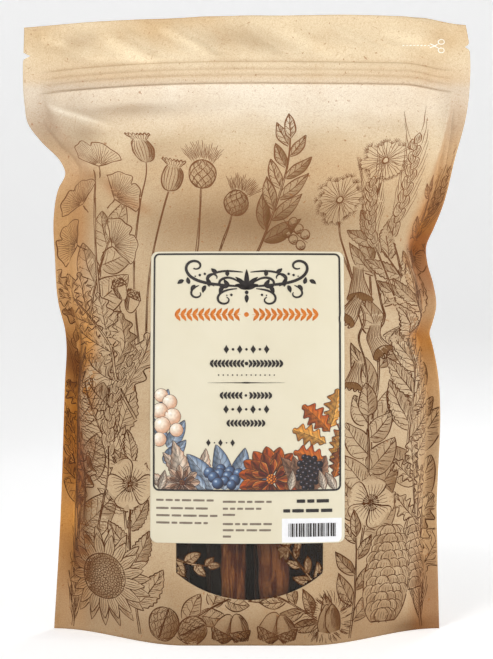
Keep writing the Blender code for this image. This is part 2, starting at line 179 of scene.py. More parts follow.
# Folds in the plies, as (from x, from height, to x, to height, half width, rise, bow). Both plies of the header
# are sealed together, so they share its folds.
FRONT_FOLDS = [
    (-112, 293, -70, 276, 1.7, 3.2, 1), (-106, 296, -78, 286, 3.0, -1.6, 1), (-92, 290, -34, 287, 4.2, -3.0, -2),
    (-74, 282, 10, 291, 5.0, 1.5, 5), (-62, 278, -20, 272, 7.0, -1.0, 2), (-99, 254, -78, 253, 2.6, 1.6, 1),
    (-90, 253, -48, 232, 3.0, 1.9, 3), (-97, 244, -58, 227, 4.4, -2.2, 4), (-88, 264, -48, 262, 7.0, -1.3, 3),
    (-92, 172, -60, 156, 2.2, 1.7, 2), (-96, 160, -70, 149, 3.4, -1.5, 2), (-96, 178, -72, 180, 3.0, -0.9, 1),
    (112.5, 297, 106, 250, 1.4, 1.5, -1), (115.5, 297, 110, 250, 1.6, -1.3, -1), (40, 291, 98, 279, 6.0, -1.8, 3),
    (60, 241, 92, 213, 3.2, 1.8, -3), (64, 226, 96, 204, 2.6, -1.5, 2), (70, 187, 96, 176, 2.2, 1.5, 1),
    (72, 160, 97, 164, 2.2, -1.5, 1), (78, 206, 94, 190, 2.0, 1.1, 1), (-70, 44, -92, 8, 6.0, 0.9, 3),
    (70, 44, 92, 8, 6.0, 0.9, -3), (-30, 270, 64, 265, 11.0, 1.6, 2), (-86, 122, -60, 96, 5.0, 1.2, 3),
    (62, 134, 90, 112, 4.6, 1.2, -2), (58, 92, 88, 80, 4.0, -1.1, 2), (-90, 78, -62, 66, 4.0, -0.9, 2),
]
HEADER_FOLDS = [
    (-72, 335, -40, 312, 2.6, 2.4, 1), (-60, 336, -27, 313, 3.2, -1.9, 1), (-44, 337, -8, 311, 2.6, 2.5, -1),
    (-24, 337, 12, 312, 3.2, -1.7, 1), (-6, 336, 30, 311, 2.8, 2.2, 1), (18, 336, 52, 314, 3.6, -1.6, 1),
    (40, 334, 84, 316, 2.8, 2.0, 2), (-118, 332, -82, 313, 3.2, 2.0, -1), (-104, 335, -70, 321, 3.2, -1.6, 0),
    (62, 326, 112, 313, 3.0, -2.0, 1), (78, 338, 118, 327, 3.0, 1.8, -1), (-96, 318, -54, 311, 2.2, 1.0, 1),
]
BACK_FOLDS = [
    (-108, 292, -64, 276, 5.0, 1.3, 3), (-98, 254, -60, 240, 3.2, 1.6, 3), (-92, 244, -50, 226, 5.0, -1.1, 4),
    (66, 288, 102, 268, 4.0, 1.2, -2), (64, 236, 94, 212, 4.0, 1.3, -3), (60, 218, 96, 206, 3.0, -0.9, 2),
    (-90, 168, -58, 160, 3.0, 1.0, 2), (66, 170, 96, 166, 3.0, 1.1, 1), (-40, 286, 34, 291, 5.0, 0.8, 4),
    (-20, 250, 40, 236, 8.0, 0.8, -4), (-50, 130, 10, 118, 12.0, 0.7, 5), (20, 92, 70, 104, 10.0, -0.7, 4),
]
PUCKER_SPACING, PUCKER_RISE = 9.0, 0.55
ZIP_RIB_COUNT, ZIP_RIB_RISE, ZIP_GROOVE, HEADER_RUMPLE = 3, 0.42, 0.95, 0.6
ZIP_LINES = [(ZIP_BOTTOM - 0.9, 0.6, 1.0), (ZIP_BOTTOM + 3.2, 0.5, 0.35), (ZIP_BOTTOM + 6.4, 0.5, 0.35),
             (ZIP_TOP + 0.9, 0.5, 0.6)]


def fold(x, z, start_x, start_z, end_x, end_z, width, rise, bow):
    """A bell-shaped rise across a bowed line from start to end, fading out towards both ends."""
    along_x, along_z = end_x - start_x, end_z - start_z
    length = math.hypot(along_x, along_z)
    t = ((x - start_x) * along_x + (z - start_z) * along_z) / length**2
    beside = ((x - start_x) * along_z - (z - start_z) * along_x) / length - bow * 4 * t * (1 - t)
    fade = smoothstep(0, 0.3, t) * (1 - smoothstep(0.7, 1, t))
    return rise * np.exp(-((beside / width) ** 2)) * fade


def zip_lines(height):
    """Narrow bell shapes along the lower and the upper edge of the zip."""
    return sum(depth * np.exp(-(((height - level) / wide) ** 2)) for level, wide, depth in ZIP_LINES)


def relief(facing, side, across, out, height):
    """How far the ply stands out from its smooth form: folds, puckers by the side seals, ribs over the zip."""
    x = side * out
    folds = sum(fold(x, height, *line) for line in (FRONT_FOLDS if facing < 0 else BACK_FOLDS))
    phase = height / PUCKER_SPACING + 0.9 * np.sin(height / 23 + side) + (1.7 if facing > 0 else 0)
    near_seal = smoothstep(0.70, 0.90, across) * (1 - smoothstep(0.925, 0.945, across))
    body = smoothstep(6, 40, height) * (1 - smoothstep(270, 296, height))
    puckers = PUCKER_RISE * np.sin(2 * math.pi * phase) * near_seal * body * (0.6 + 0.4 * np.sin(height / 31))
    rib = (height - ZIP_BOTTOM) / (ZIP_TOP - ZIP_BOTTOM)
    on_zip = (rib > 0) & (rib < 1)
    ribs = np.where(on_zip, ZIP_RIB_RISE * np.sin(math.pi * ZIP_RIB_COUNT * np.clip(rib, 0, 1)) ** 2, 0)
    grooves = ZIP_GROOVE * zip_lines(height) * (1 - smoothstep(*LINE_FADE, out))
    ribs = ribs * (1 - smoothstep(*ZIP_FADE, out)) - grooves
    swell = 0.5 * np.sin(x / 13 + 1.5 * np.sin(height / 40)) * smoothstep(10, 60, height)
    filled = (1 - smoothstep(150, 235, height)) * (1 - smoothstep(0.6, 0.8, across))
    return folds + puckers + ribs + swell * filled


def rumple(x, height):
    """How far the sealed header stands out towards the front: its folds and a slanting ripple."""
    slant = np.sin((0.76 * x + 0.65 * height) * 2 * math.pi / 27 + 1.1 * np.sin(x / 31))
    ripple = HEADER_RUMPLE * slant * (0.5 + 0.5 * np.sin(x / 19 + 2))
    return (ripple + sum(fold(x, height, *line) for line in HEADER_FOLDS)) * smoothstep(ZIP_TOP, 318, height)


def ply_points(facing, across, height):
    """Points of a ply's inner face in millimetres. facing is -1 in front; across runs from -1 to 1."""
    across, height = np.broadcast_arrays(np.asarray(across, float), np.asarray(height, float))
    halves = []
    for side in (-1, 1):
        place = abs(across)
        out = half_width(side, place, height)
        share = out / FLAT_HALF_WIDTH
        bow = HEADER_BOW * smoothstep(HEADER_START, HEIGHT, height) * (1 - share**2)
        bend = sum(np.exp(-(((height - pinch) / PINCH_HEIGHT) ** 2)) for pinch in PINCHES[side])
        wave = 0.9 * np.sin(side * out / 17 + height / 30) * smoothstep(305, HEIGHT, height)
        middle = SIDE_BEND * bend * smoothstep(0.6, 1, share) - bow + wave - rumple(side * out, height)
        rising = smoothstep(HEADER_START, ZIP_BOTTOM, height)
        if side < 0:
            sag = rising * LEFT_SAG * share**2.2
        else:
            sag = rising * RIGHT_SAG * smoothstep(RIGHT_SAG_START, FLAT_HALF_WIDTH - SEAL_WIDTH, out)
        depth = half_depth(side, place, out, height)
        depth = depth + relief(facing, side, place, out, height) * smoothstep(0, 2, depth + 1.4)
        trim = through(TOP_TRIM, side * out) * smoothstep(ZIP_TOP, HEIGHT, height)
        halves.append(np.stack([side * out, middle + facing * depth, height - sag - trim], axis=-1))
    return np.where((across < 0)[..., None], halves[0], halves[1])


def outward(facing, across, height):
    """Unit normals pointing out of the pouch: the cross product of small steps across and up the ply."""
    step, lift = 2e-3, 0.3
    along = ply_points(facing, across + step, height) - ply_points(facing, across - step, height)
    up = ply_points(facing, across, height + lift) - ply_points(facing, across, height - lift)
    normal = np.cross(along, up) * -facing
    return normal / np.linalg.norm(normal, axis=-1, keepdims=True)


def grid_faces(rows, columns):
    """Quads of a grid, turning anticlockwise as seen with columns to the right and rows upwards."""
    index = np.arange(rows * columns).reshape(rows, columns)
    return np.stack([index[:-1, :-1], index[:-1, 1:], index[1:, 1:], index[1:, :-1]], axis=-1).reshape(-1, 4)


def make_piece(name, points, faces, finish):
    """A smooth-shaded mesh object from points in millimetres, riding on the pouch's one body."""
    mesh = bpy.data.meshes.new(name)
    mesh.from_pydata((points.reshape(-1, 3) * MM).tolist(), [], faces)
    mesh.shade_smooth()
    piece = bpy.data.objects.new(name, mesh)
    mesh.materials.append(finish)
    bpy.context.scene.collection.objects.link(piece)
    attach(piece, "root")
    return piece


def set_values(piece, name, values):
    """A number at each point of a piece, for its material to read."""
    piece.data.attributes.new(name, "FLOAT", "POINT").data.foreach_set("value", np.ravel(values))


def thicken(piece, thickness):
    """A wall on the side that the faces look to."""
    wall = piece.modifiers.new("thickness", "SOLIDIFY")
    wall.thickness = thickness * MM
    wall.offset = 1
    return wall


def linear(shown):
    """Colours as seen on screen, from 0 to 255, as linear values."""
    share = np.asarray(shown, float) / 255
    return np.where(share <= 0.04045, share / 12.92, ((share + 0.055) / 1.055) ** 2.4)


def srgb(*shown):
    """A colour as seen on screen, from 0 to 255, as a shader takes it."""
    return (*linear(shown).tolist(), 1.0)


class Finish:
    """A material, with short ways to add nodes and to feed them values or other nodes' outputs."""

    def __init__(self, name, roughness, specular=0.5):
        self.made = bpy.data.materials.new(name)
        self.made.use_nodes = True
        self.shade("Roughness", roughness)
        self.shade("Specular IOR Level", specular)

    def feed(self, value, socket):
        """Joins an output to a socket, or sets the socket's value."""
        if isinstance(value, bpy.types.NodeSocket):
            self.made.node_tree.links.new(value, socket)
        else:
            socket.default_value = value

    def shade(self, name, value):
        """Feeds one of the shader's own sockets."""
        self.feed(value, self.made.node_tree.nodes["Principled BSDF"].inputs[name])

    def add(self, kind, **values):
        node = self.made.node_tree.nodes.new(kind)
        for key, value in values.items():
            if key in node.inputs:
                self.feed(value, node.inputs[key])
            else:
                setattr(node, key, value)
        return node

    def place(self):
        return self.add("ShaderNodeTexCoord").outputs["Object"]

    def height(self):
        """The object's own height at each point."""
        apart = self.add("ShaderNodeSeparateXYZ")
        self.feed(self.place(), apart.inputs[0])
        return apart.outputs["Z"]

    def value(self, name):
        """The number that a piece holds at each of its points."""
        return self.add("ShaderNodeAttribute", attribute_name=name).outputs["Fac"]

    def noise(self, scale, detail=2.0, at=None, **values):
        """Noise over the object, or at places that another node gives."""
        at = self.place() if at is None else at
        return self.add("ShaderNodeTexNoise", Vector=at, Scale=scale, Detail=detail, **values).outputs["Fac"]

    def times(self, first, second):
        """The product of two outputs."""
        node = self.add("ShaderNodeMath", operation="MULTIPLY")
        self.feed(first, node.inputs[0])
        self.feed(second, node.inputs[1])
        return node.outputs[0]

    def ranged(self, value, low, high, to_low=0.0, to_high=1.0):
        """The value carried from one range to another, held at both ends."""
        node = self.add("ShaderNodeMapRange")
        for socket, given in zip(node.inputs, (value, low, high, to_low, to_high)):
            self.feed(given, socket)
        return node.outputs[0]

    def mix(self, factor, first, second, blend="MULTIPLY"):
        """Two colours mixed by a factor. Each is an output, or a colour as seen on screen."""
        node = self.add("ShaderNodeMix", data_type="RGBA", blend_type=blend)
        self.feed(factor, node.inputs[0])
        for socket, colour in ((6, first), (7, second)):
            self.feed(srgb(*colour) if isinstance(colour, tuple) else colour, node.inputs[socket])
        return node.outputs[2]

    def bump(self, height, strength, distance, **values):
        """Normals tilted by a height."""
        node = self.add("ShaderNodeBump", Height=height, Strength=strength, Distance=distance, **values)
        return node.outputs[0]


def clouded(name, roughness, scale, low, high, first, second):
    """One colour passing into another in clouds, by the share of the noise between low and high."""
    finish = Finish(name, roughness)
    finish.shade("Base Color", finish.mix(finish.ranged(finish.noise(scale), low, high), first, second, "MIX"))
    return finish.made


# The kraft's colour by height, paler towards the header and darker towards the foot. The near-white stops just
# under the zip, from 0.286 to 0.298, are a painted highlight where the bulge below the zip catches the light from
# above.
KRAFT_BY_HEIGHT = [
    (0.000, (180, 154, 120)), (0.030, (193, 170, 137)), (0.120, (194, 172, 140)), (0.190, (194, 172, 140)),
    (0.225, (188, 163, 128)), (0.250, (206, 181, 145)), (0.268, (221, 204, 174)), (0.286, (233, 222, 202)),
    (0.298, (233, 222, 203)), (0.303, (234, 215, 184)), (0.316, (243, 228, 196)), (0.338, (240, 222, 187)),
]
# How brown the sides are, by height: partly the kraft's own tone, partly painted shade where the sides turn away
# from the light.
# Then drifts in the print's ground, as (x, height, reach, reach, amount): darker ones, partly painted shade in the
# hollow under the zip at the left and along the left ridge, and below 0 paler ones, which only show where a plant
# is tinted.
LEFT_WARMTH = [(0, 0.15), (30, 0.50), (60, 0.95), (140, 1.0), (160, 0.80), (190, 0.55), (225, 0.45), (250, 0.40),
               (280, 0.28), (300, 0.0)]
RIGHT_WARMTH = [(0, 0.60), (30, 0.40), (75, 0.28), (115, 0.20), (140, 0.50), (160, 0.95), (176, 0.40), (196, 0.85),
                (216, 1.0), (240, 0.55), (275, 0.32), (300, 0.0)]
DRIFTS = [
    (-92, 327, 13, 6, 0.24), (-14, 325, 20, 7, 0.22), (24, 322, 24, 7, 0.20), (76, 327, 12, 5, 0.14),
    (-62, 286, 22, 4.5, 0.34), (-100, 284, 20, 16, 0.40), (-84, 247, 10, 6, 0.20),
    (4, 220, 50, 16, 0.55), (-30, 4, 40, 12, 0.35), (24, 6, 60, 14, 0.35), (-101, 138, 9, 24, 0.70),
    (-99, 40, 9, 16, 0.75), (-97, 154, 11, 15, 0.45), (-60, 118, 12, 30, 0.08), (-48, 226, 12, 26, 0.08),
    (26, 262, 16, 10, 0.16), (-50, 262, 14, 8, 0.18), (54, 36, 12, 18, 0.28), (98, 4, 20, 8, 0.30),
    (-82, 10, 26, 12, 0.15), (-87, 68, 7, 44, 0.72), (-88, 272, 11, 8, 0.40), (90, 2, 16, 5, 0.5),
    (-34, 26, 16, 12, 0.22), (-72, 176, 14, 56, -0.32), (98, 150, 7, 50, -0.30), (96, 74, 8, 20, -0.34),
    (80, 34, 12, 26, -0.24), (98, 26, 7, 16, 0.26), (68, 98, 12, 20, 0.20), (68, 190, 12, 20, 0.16),
]
HEADER_WASH, SEAL_WASH, BACK_SHARE = 0.25, 0.26, 0.3
WARMTH_STARTS, WARMTH_REACH = (0.76, 0.80), 0.11
SIDE_LIGHT, SIDE_DARK = (212, 144, 38), (154, 84, 8)
# Tan creases on the front, painted shade in folds and in the right recess, and pale ones, painted highlights where
# a fold catches the light, as FRONT_FOLDS gives them.
CREASES = [(-99, 251, -78, 249, 2.4, 0.45, 1), (-80, 250, -46, 226, 3.0, 0.50, 4), (88, 219, 98, 172, 3.2, 0.60, 2),
           (-93, 168, -64, 154, 3.0, 0.30, 2), (70, 183, 95, 173, 2.4, 0.30, 1), (100, 246, 103, 196, 3.0, 0.45, 2),
           (100, 192, 102, 152, 6.0, 1.0, 0)]
PALE_CREASES = [
    (-117, 296, -64, 272, 2.2, 1.0, 1), (-84, 332, -46, 309, 3.6, 0.8, 2), (-58, 335, -16, 312, 2.6, 0.7, -2),
    (10, 333, 62, 314, 4.4, 0.5, 3), (-122, 334, -96, 324, 3.0, 0.7, 0), (64, 329, 112, 318, 3.4, 0.5, -2),
    (-100, 317, -30, 312, 1.4, 0.5, 0), (-95, 244, -56, 224, 1.6, 0.8, 4), (113, 297, 108, 250, 1.2, 0.9, -1),
]


def side_warmth(across, height):
    """0 on a ply's face, rising smoothly round its sides to the value that its list gives at that height: partly
    the kraft's tone, partly painted shade where the sides turn away from the light. It starts nearer the middle on
    the left, where the painted shade along the ridge is darkest."""
    start = np.where(np.asarray(across) < 0, *WARMTH_STARTS)
    share = smoothstep(0, WARMTH_REACH, abs(across) - start)
    return np.clip(by_side(across, LEFT_WARMTH, RIGHT_WARMTH, height), 0, 1) * share


def ground_wash(facing, x, height):
    """Bell-shaped drifts of darker tone, partly painted shade, the header's and the side seals' own shade, and less
    of them all along a pale crease, which is a painted highlight.
    """
    strength = 1 if facing < 0 else BACK_SHARE
    drifts = sum(amount * np.exp(-(((x - at_x) / wide) ** 2) - ((height - at_z) / tall) ** 2)
                 for at_x, at_z, wide, tall, amount in DRIFTS)
    in_header = smoothstep(ZIP_BOTTOM - 2, ZIP_BOTTOM + 2, height)
    by_seal = SEAL_WASH * smoothstep(100, 114, abs(x)) * smoothstep(252, 280, height) * (1 - in_header)
    pale = np.clip(sum(fold(x, height, *crease) for crease in PALE_CREASES), 0, 1)
    return (strength * drifts + by_seal + HEADER_WASH * in_header) * (1 - strength * pale)


def kraft_material():
    """Kraft paper: paler towards the header, with a painted highlight just under the zip, warm brown round the
    sides, partly painted shade, with fibres, flecks and mottling.
    """
    finish = Finish("kraft", 0.6, 0.10)
    height = finish.height()
    ramp = finish.add("ShaderNodeValToRGB")
    finish.feed(finish.ranged(height, 0, HEIGHT * MM), ramp.inputs[0])
    while len(ramp.color_ramp.elements) < len(KRAFT_BY_HEIGHT):
        ramp.color_ramp.elements.new(0.5)
    for element, (level, tone) in zip(ramp.color_ramp.elements, KRAFT_BY_HEIGHT):
        element.position = min(level / (HEIGHT * MM), 1)
        element.color = srgb(*tone)

    # The sides are browner, in drifts from tan to burnt orange: partly the kraft's tone, partly painted shade where
    # the sides
    #     turn away from the light, and along the creases.
    blotch = finish.noise(22.0, 3.0)
    side_colour = finish.mix(finish.ranged(finish.noise(13.0), 0.38, 0.62), SIDE_LIGHT, SIDE_DARK, "MIX")
    amount = finish.times(finish.value("warmth"), finish.ranged(blotch, 0.3, 0.7, 0.70, 1.0))
    colour = finish.mix(amount, ramp.outputs[0], side_colour, "MIX")
    # The wash darkens the kraft: drifts that are partly painted shade, painted shade along the zip's lines, and
    # less of it where a painted highlight runs along a fold.
    colour = finish.mix(finish.value("wash"), colour, (154, 128, 102))

    # Clouds, a fine grain, thin fibres lying every way, and flecks of bark.
    in_header = finish.ranged(height, ZIP_TOP * MM, 0.320, 0.30, 0.50)
    colour = finish.mix(finish.times(finish.ranged(blotch, 0.40, 0.68), in_header), colour, (212, 182, 138))
    grain = finish.noise(1700.0, 3.0)
    colour = finish.mix(finish.ranged(grain, 0.38, 0.75, 0.0, 0.36), colour, (186, 142, 92))
    for turn, strength, tone in ((0.4, 0.22, (150, 98, 50)), (1.9, 0.22, (158, 108, 60)),
                                 (2.7, 0.20, (140, 92, 48))):
        lie = finish.add("ShaderNodeMapping", vector_type="TEXTURE", Vector=finish.place(),
                         Location=(turn, 0, turn), Rotation=(0, turn, 0), Scale=(1.0, 1.0, 0.2))
        fibre = finish.noise(330.0, 0.0, lie.outputs[0], Distortion=0.9)
        colour = finish.mix(finish.ranged(fibre, 0.72, 0.80, 0.0, strength), colour, tone, "MIX")
    fleck = finish.noise(480.0, 1.0, Distortion=0.5)
    colour = finish.mix(finish.ranged(fleck, 0.725, 0.76, 0.0, 0.6), colour, (150, 92, 44), "MIX")
    finish.shade("Base Color", colour)

    finish.shade("Roughness", finish.ranged(finish.noise(60.0, 4.0), 0.3, 0.7, 0.52, 0.64))
    crinkle = finish.bump(finish.noise(38.0, 3.0, Roughness=0.5, Distortion=0.4), 0.45, 0.0030)
    finish.shade("Normal", finish.bump(grain, 0.12, 0.0002, Normal=crinkle))
    return finish.made


KRAFT = kraft_material()

# Columns of the grid crowd where the ply turns from its face to its side seal.
ACROSS_KEYS, ACROSS_AT = [0, 0.70, 0.93, 1.0], [0, 0.56, 0.92, 1.0]
half_columns = np.interp(np.linspace(0, 1, 98), ACROSS_AT, ACROSS_KEYS)
panel_across = np.concatenate([-half_columns[:0:-1], half_columns])
panel_heights = np.sort(np.concatenate([
    np.linspace(0.06, ZIP_BOTTOM - 3, 182)[:-1], np.linspace(ZIP_BOTTOM - 3, ZIP_TOP + ZIP_RAMP, 46)[:-1],
    np.linspace(ZIP_TOP + ZIP_RAMP, HEIGHT, 21), [height for _, height, _, _ in NOTCHES],
]))


# The window is an opening in the front ply, straight at the sides with a shallow arc at each end.
WINDOW_MIDDLE, WINDOW_WIDTH, WINDOW_BOTTOM, WINDOW_TOP, WINDOW_ARC_RISE = 1.6, 76.6, 24.0, 112.0, 14.0
SNAP_REACH, ZIP_SHADE = 0.90, 0.35


def window_outline(steps=40):
    """The outline as (x, height): two circular arcs whose ends are joined by straight sides."""
    half = WINDOW_WIDTH / 2
    radius = (half**2 + WINDOW_ARC_RISE**2) / (2 * WINDOW_ARC_RISE)
    x = np.linspace(-half, half, steps)
    rise = np.sqrt(radius**2 - x**2) - (radius - WINDOW_ARC_RISE)
    low = np.stack([WINDOW_MIDDLE + x, WINDOW_BOTTOM + WINDOW_ARC_RISE - rise], axis=-1)
    high = np.stack([WINDOW_MIDDLE + x[::-1], WINDOW_TOP - WINDOW_ARC_RISE + rise], axis=-1)
    return np.concatenate([low, high])


def inside(flat, outline):
    """Whether points lie inside an outline, by the even-odd crossing rule."""
    x, y = flat[..., 0][..., None], flat[..., 1][..., None]
    (x0, y0), (x1, y1) = outline.T, np.roll(outline, -1, axis=0).T
    crosses = (y0 > y) != (y1 > y)
    at = x0 + (y - y0) * (x1 - x0) / np.where(y1 == y0, 1e-9, y1 - y0)
    return (crosses & (x < at)).sum(-1) % 2 == 1


def nearest_on(flat, outline):
    """For each point, the nearest point of an outline's straight pieces, and how far it is."""
    start, end = outline, np.roll(outline, -1, axis=0)
    along = end - start
    t = ((flat[:, None] - start) * along).sum(-1) / (along**2).sum(-1)
    foot = start + np.clip(t, 0, 1)[..., None] * along
    far = np.linalg.norm(flat[:, None] - foot, axis=-1)
    best = far.argmin(1)
    rank = np.arange(len(flat))
    return foot[rank, best], far[rank, best]


def ridge_at(x, height):
    """The ridge's distance from the middle, on the side where x lies."""
    return by_side(x, LEFT_RIDGE, RIGHT_RIDGE, height)


def open_window(place, height):
    """Moves grid points near the window's outline onto it, and returns the faces outside it. A quad whose inner
    and outer corners lie across two moved ones keeps only the triangle at its outer corner."""
    flat = np.stack([place * ridge_at(place, height) / AT_RIDGE, height], axis=-1)
    outline = window_outline()
    kind = np.where(inside(flat, outline), 1, -1)
    near = np.flatnonzero(((flat > outline.min(0) - 4) & (flat < outline.max(0) + 4)).all(-1).ravel())
    foot, far = nearest_on(flat.reshape(-1, 2)[near], outline)
    moved, foot = near[far < SNAP_REACH], foot[far < SNAP_REACH]
    kind.ravel()[moved] = 0
    height.ravel()[moved] = foot[:, 1]
    place.ravel()[moved] = AT_RIDGE * foot[:, 0] / ridge_at(foot[:, 0], foot[:, 1])
    quads = grid_faces(*place.shape)
    corner = kind.ravel()[quads]
    whole = quads[(corner.max(1) < 1) & (corner.min(1) < 0)]
    split = (corner.max(1) > 0) & (corner.min(1) < 0)
    outer = corner[split].argmin(1)
    rank = np.arange(len(outer))
    parts = [quads[split][rank, (outer + step) % 4] for step in (-1, 0, 1)]
    return whole.tolist() + np.stack(parts, axis=-1).tolist()


def ply(name, facing):
    """One ply as a grid, with its warmth and its wash at each point."""
    across = panel_across if facing < 0 else panel_across[::-1]
    place, height = np.meshgrid(across, panel_heights)
    faces = open_window(place, height) if facing < 0 else grid_faces(*place.shape).tolist()
    piece = make_piece(name, ply_points(facing, place, height), faces, KRAFT)
    flat = place * ridge_at(place, height) / AT_RIDGE
    # Painted shade: brown along the creases, and darker along the zip's lines.
    creases = sum(fold(flat, height, *crease) for crease in CREASES) * (1 if facing < 0 else BACK_SHARE)
    set_values(piece, "warmth", np.maximum(side_warmth(place, height), creases))
    near_zip = zip_lines(height) * (1 - smoothstep(*LINE_FADE, abs(flat)))
    set_values(piece, "wash", ground_wash(facing, flat, height) + ZIP_SHADE * near_zip)
    thicken(piece, PLY)
    return piece


front_ply = ply("front_ply", -1)
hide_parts("front_panel")
back_ply = ply("back_ply", 1)
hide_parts("back_panel")


# ---------------------------------------------------------------------------------------------------------------
# The window's film: clear polypropylene, sealed behind the opening and a little larger than it.

FILM_SET_BACK, FILM_THICK = 0.30, 0.12


def film_material():
    """Clear glossy film, which lets light through to the slices."""
    finish = Finish("clear_film", 0.10)
    finish.shade("Base Color", srgb(84, 80, 74))
    finish.shade("Alpha", 0.10)
    finish.shade("IOR", 1.5)
    finish.made.surface_render_method = "BLENDED"
    return finish.made


def film():
    """The ply's own surface, moved inwards past the front ply, as a grid a little larger than the opening."""
    across, height = np.meshgrid(np.linspace(-0.47, 0.47, 80), np.linspace(14, 120, 80))
    points = ply_points(-1, across, height) - FILM_SET_BACK * outward(-1, across, height)
    faces = grid_faces(*across.shape).tolist()
    piece = make_piece("clear_window_film", points, faces, film_material())
    thicken(piece, FILM_THICK)
    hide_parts("window_film")


film()


# ---------------------------------------------------------------------------------------------------------------
# The bottom gusset: a third ply, folded open under the pouch and sealed to both others along a U, so that its
# middle lies flat on the table.

GUSSET_REACH, GUSSET_FLAT_REACH, GUSSET_FLAT_SHARE = 0.87, 0.48, 0.4
GUSSET_SEAL_MIDDLE, GUSSET_SEAL_END = 5.0, 40.0


def gusset_points(across, place):
    """Straight across from seal to seal, and lowered to a flat middle that rises as a square towards the seals."""
    seal = GUSSET_SEAL_MIDDLE + (GUSSET_SEAL_END - GUSSET_SEAL_MIDDLE) * (abs(across) / GUSSET_REACH) ** 2.2
    front = ply_points(-1, across, seal) + [0, 0.3, 0]
    back = ply_points(1, across, seal) - [0, 0.3, 0]
    points = (front + back) / 2 + place[..., None] * (back - front) / 2
    lowest = np.minimum(GUSSET_SEAL_END * smoothstep(GUSSET_FLAT_REACH, GUSSET_REACH, abs(across)), seal)
    rise = np.clip((abs(place) - GUSSET_FLAT_SHARE) / (1 - GUSSET_FLAT_SHARE), 0, 1) ** 2
    points[..., 2] = lowest + (seal - lowest) * rise
    return points


def gusset():
    """A grid along and across the gusset, in the same kraft as the plies."""
    across, place = np.meshgrid(np.linspace(-GUSSET_REACH, GUSSET_REACH, 121), np.linspace(-1, 1, 61))
    points = gusset_points(across, place)
    piece = make_piece("gusset_ply", points, grid_faces(*across.shape).tolist(), KRAFT)
    set_values(piece, "warmth", np.full(across.shape, 0.5))
    set_values(piece, "wash", np.full(across.shape, 0.2))
    thicken(piece, PLY)
    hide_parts("bottom_gusset")


gusset()


# ---------------------------------------------------------------------------------------------------------------
# The zip: two extruded polyethylene tracks, one sealed inside each ply just under the header, pressed together.

ZIP_PLASTIC = clouded("zip_plastic", 0.35, 40.0, 0, 1, (226, 226, 220), (238, 237, 230))
ZIP_TRACK_REACH, ZIP_CLEARANCE = 0.74, 0.12


def tube_faces(rings, around):
    """Quads between rings of points, and a cap at each end."""
    index = np.arange(rings * around).reshape(rings, around)
    after = np.roll(index, -1, axis=1)
    quads = np.stack([index[:-1], after[:-1], after[1:], index[1:]], axis=-1).reshape(-1, 4)
    return quads.tolist() + [index[0][::-1].tolist(), index[-1].tolist()]


def zip_track(facing, node):
    """One track: it fills the room between its ply and the pouch's middle, so it thins out towards both seals."""
    across, height = np.meshgrid(np.linspace(-ZIP_TRACK_REACH, ZIP_TRACK_REACH, 61),
                                 np.linspace(ZIP_BOTTOM + 0.8, ZIP_TOP - 0.8, 9), indexing="ij")
    near, far = ply_points(facing, across, height), ply_points(-facing, across, height)
    towards = np.array([0, facing * ZIP_CLEARANCE, 0])
    outer, inner = near - towards, (near + far) / 2 + towards
    rings = np.concatenate([outer, inner[:, ::-1]], axis=1)
    if facing > 0:
        rings = rings[::-1]
    piece = make_piece(f"{node}_strip", rings, tube_faces(*rings.shape[:2]), ZIP_PLASTIC)
    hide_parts(node)


zip_track(-1, "zip_grooved_track")
zip_track(1, "zip_ribbed_track")


# ---------------------------------------------------------------------------------------------------------------
# The slices: mushroom caps cut across into strips about 4 mm thick and dried. Each has a dark crust along one
# edge, corky growth lines along its cut face and a browner layer of pores along the other edge.

def slice_material():
    """Corky reddish-brown flesh with growth lines along the slice, fine pores and darker edges, and painted shade
    on the slices deeper inside the pouch.
    """
    finish = Finish("dried_slice", 0.72, 0.25)
    edge = finish.value("across_slice")
    colour = finish.mix(finish.ranged(edge, -1.0, 1.0), (196, 126, 64), (166, 98, 48), "MIX")
    stretch = finish.add("ShaderNodeMapping", Vector=finish.place(), Scale=(1.0, 1.0, 0.16))
    lines = finish.noise(420.0, 4.0, stretch.outputs[0], Distortion=0.8)
    colour = finish.mix(finish.ranged(lines, 0.40, 0.60), colour, (164, 128, 104))
    colour = finish.mix(finish.ranged(finish.noise(1500.0), 0.4, 0.7), colour, (160, 130, 108))
    # Painted shade: slices behind the nearest ones are darkened towards a cool near-black, for the dark inside of
    # the pouch; the nearest vary a little in tone.
    colour = finish.mix(finish.value("tone_and_shade"), colour, (46, 48, 60))
    colour = finish.mix(finish.ranged(finish.noise(70.0), 0.42, 0.62, 0.0, 0.7), colour, (150, 122, 104))
    crust = finish.ranged(edge, 0.86, 0.96)
    colour = finish.mix(crust, colour, (70, 36, 26), "MIX")
    colour = finish.mix(finish.ranged(edge, -0.97, -0.84, 0.7, 0.0), colour, (92, 52, 34), "MIX")
    finish.shade("Base Color", colour)
    finish.shade("Roughness", finish.ranged(crust, 0, 1, 0.78, 0.38))
    finish.shade("Normal", finish.bump(lines, 0.5, 0.0005))
    return finish.made


DRIED_SLICE = slice_material()


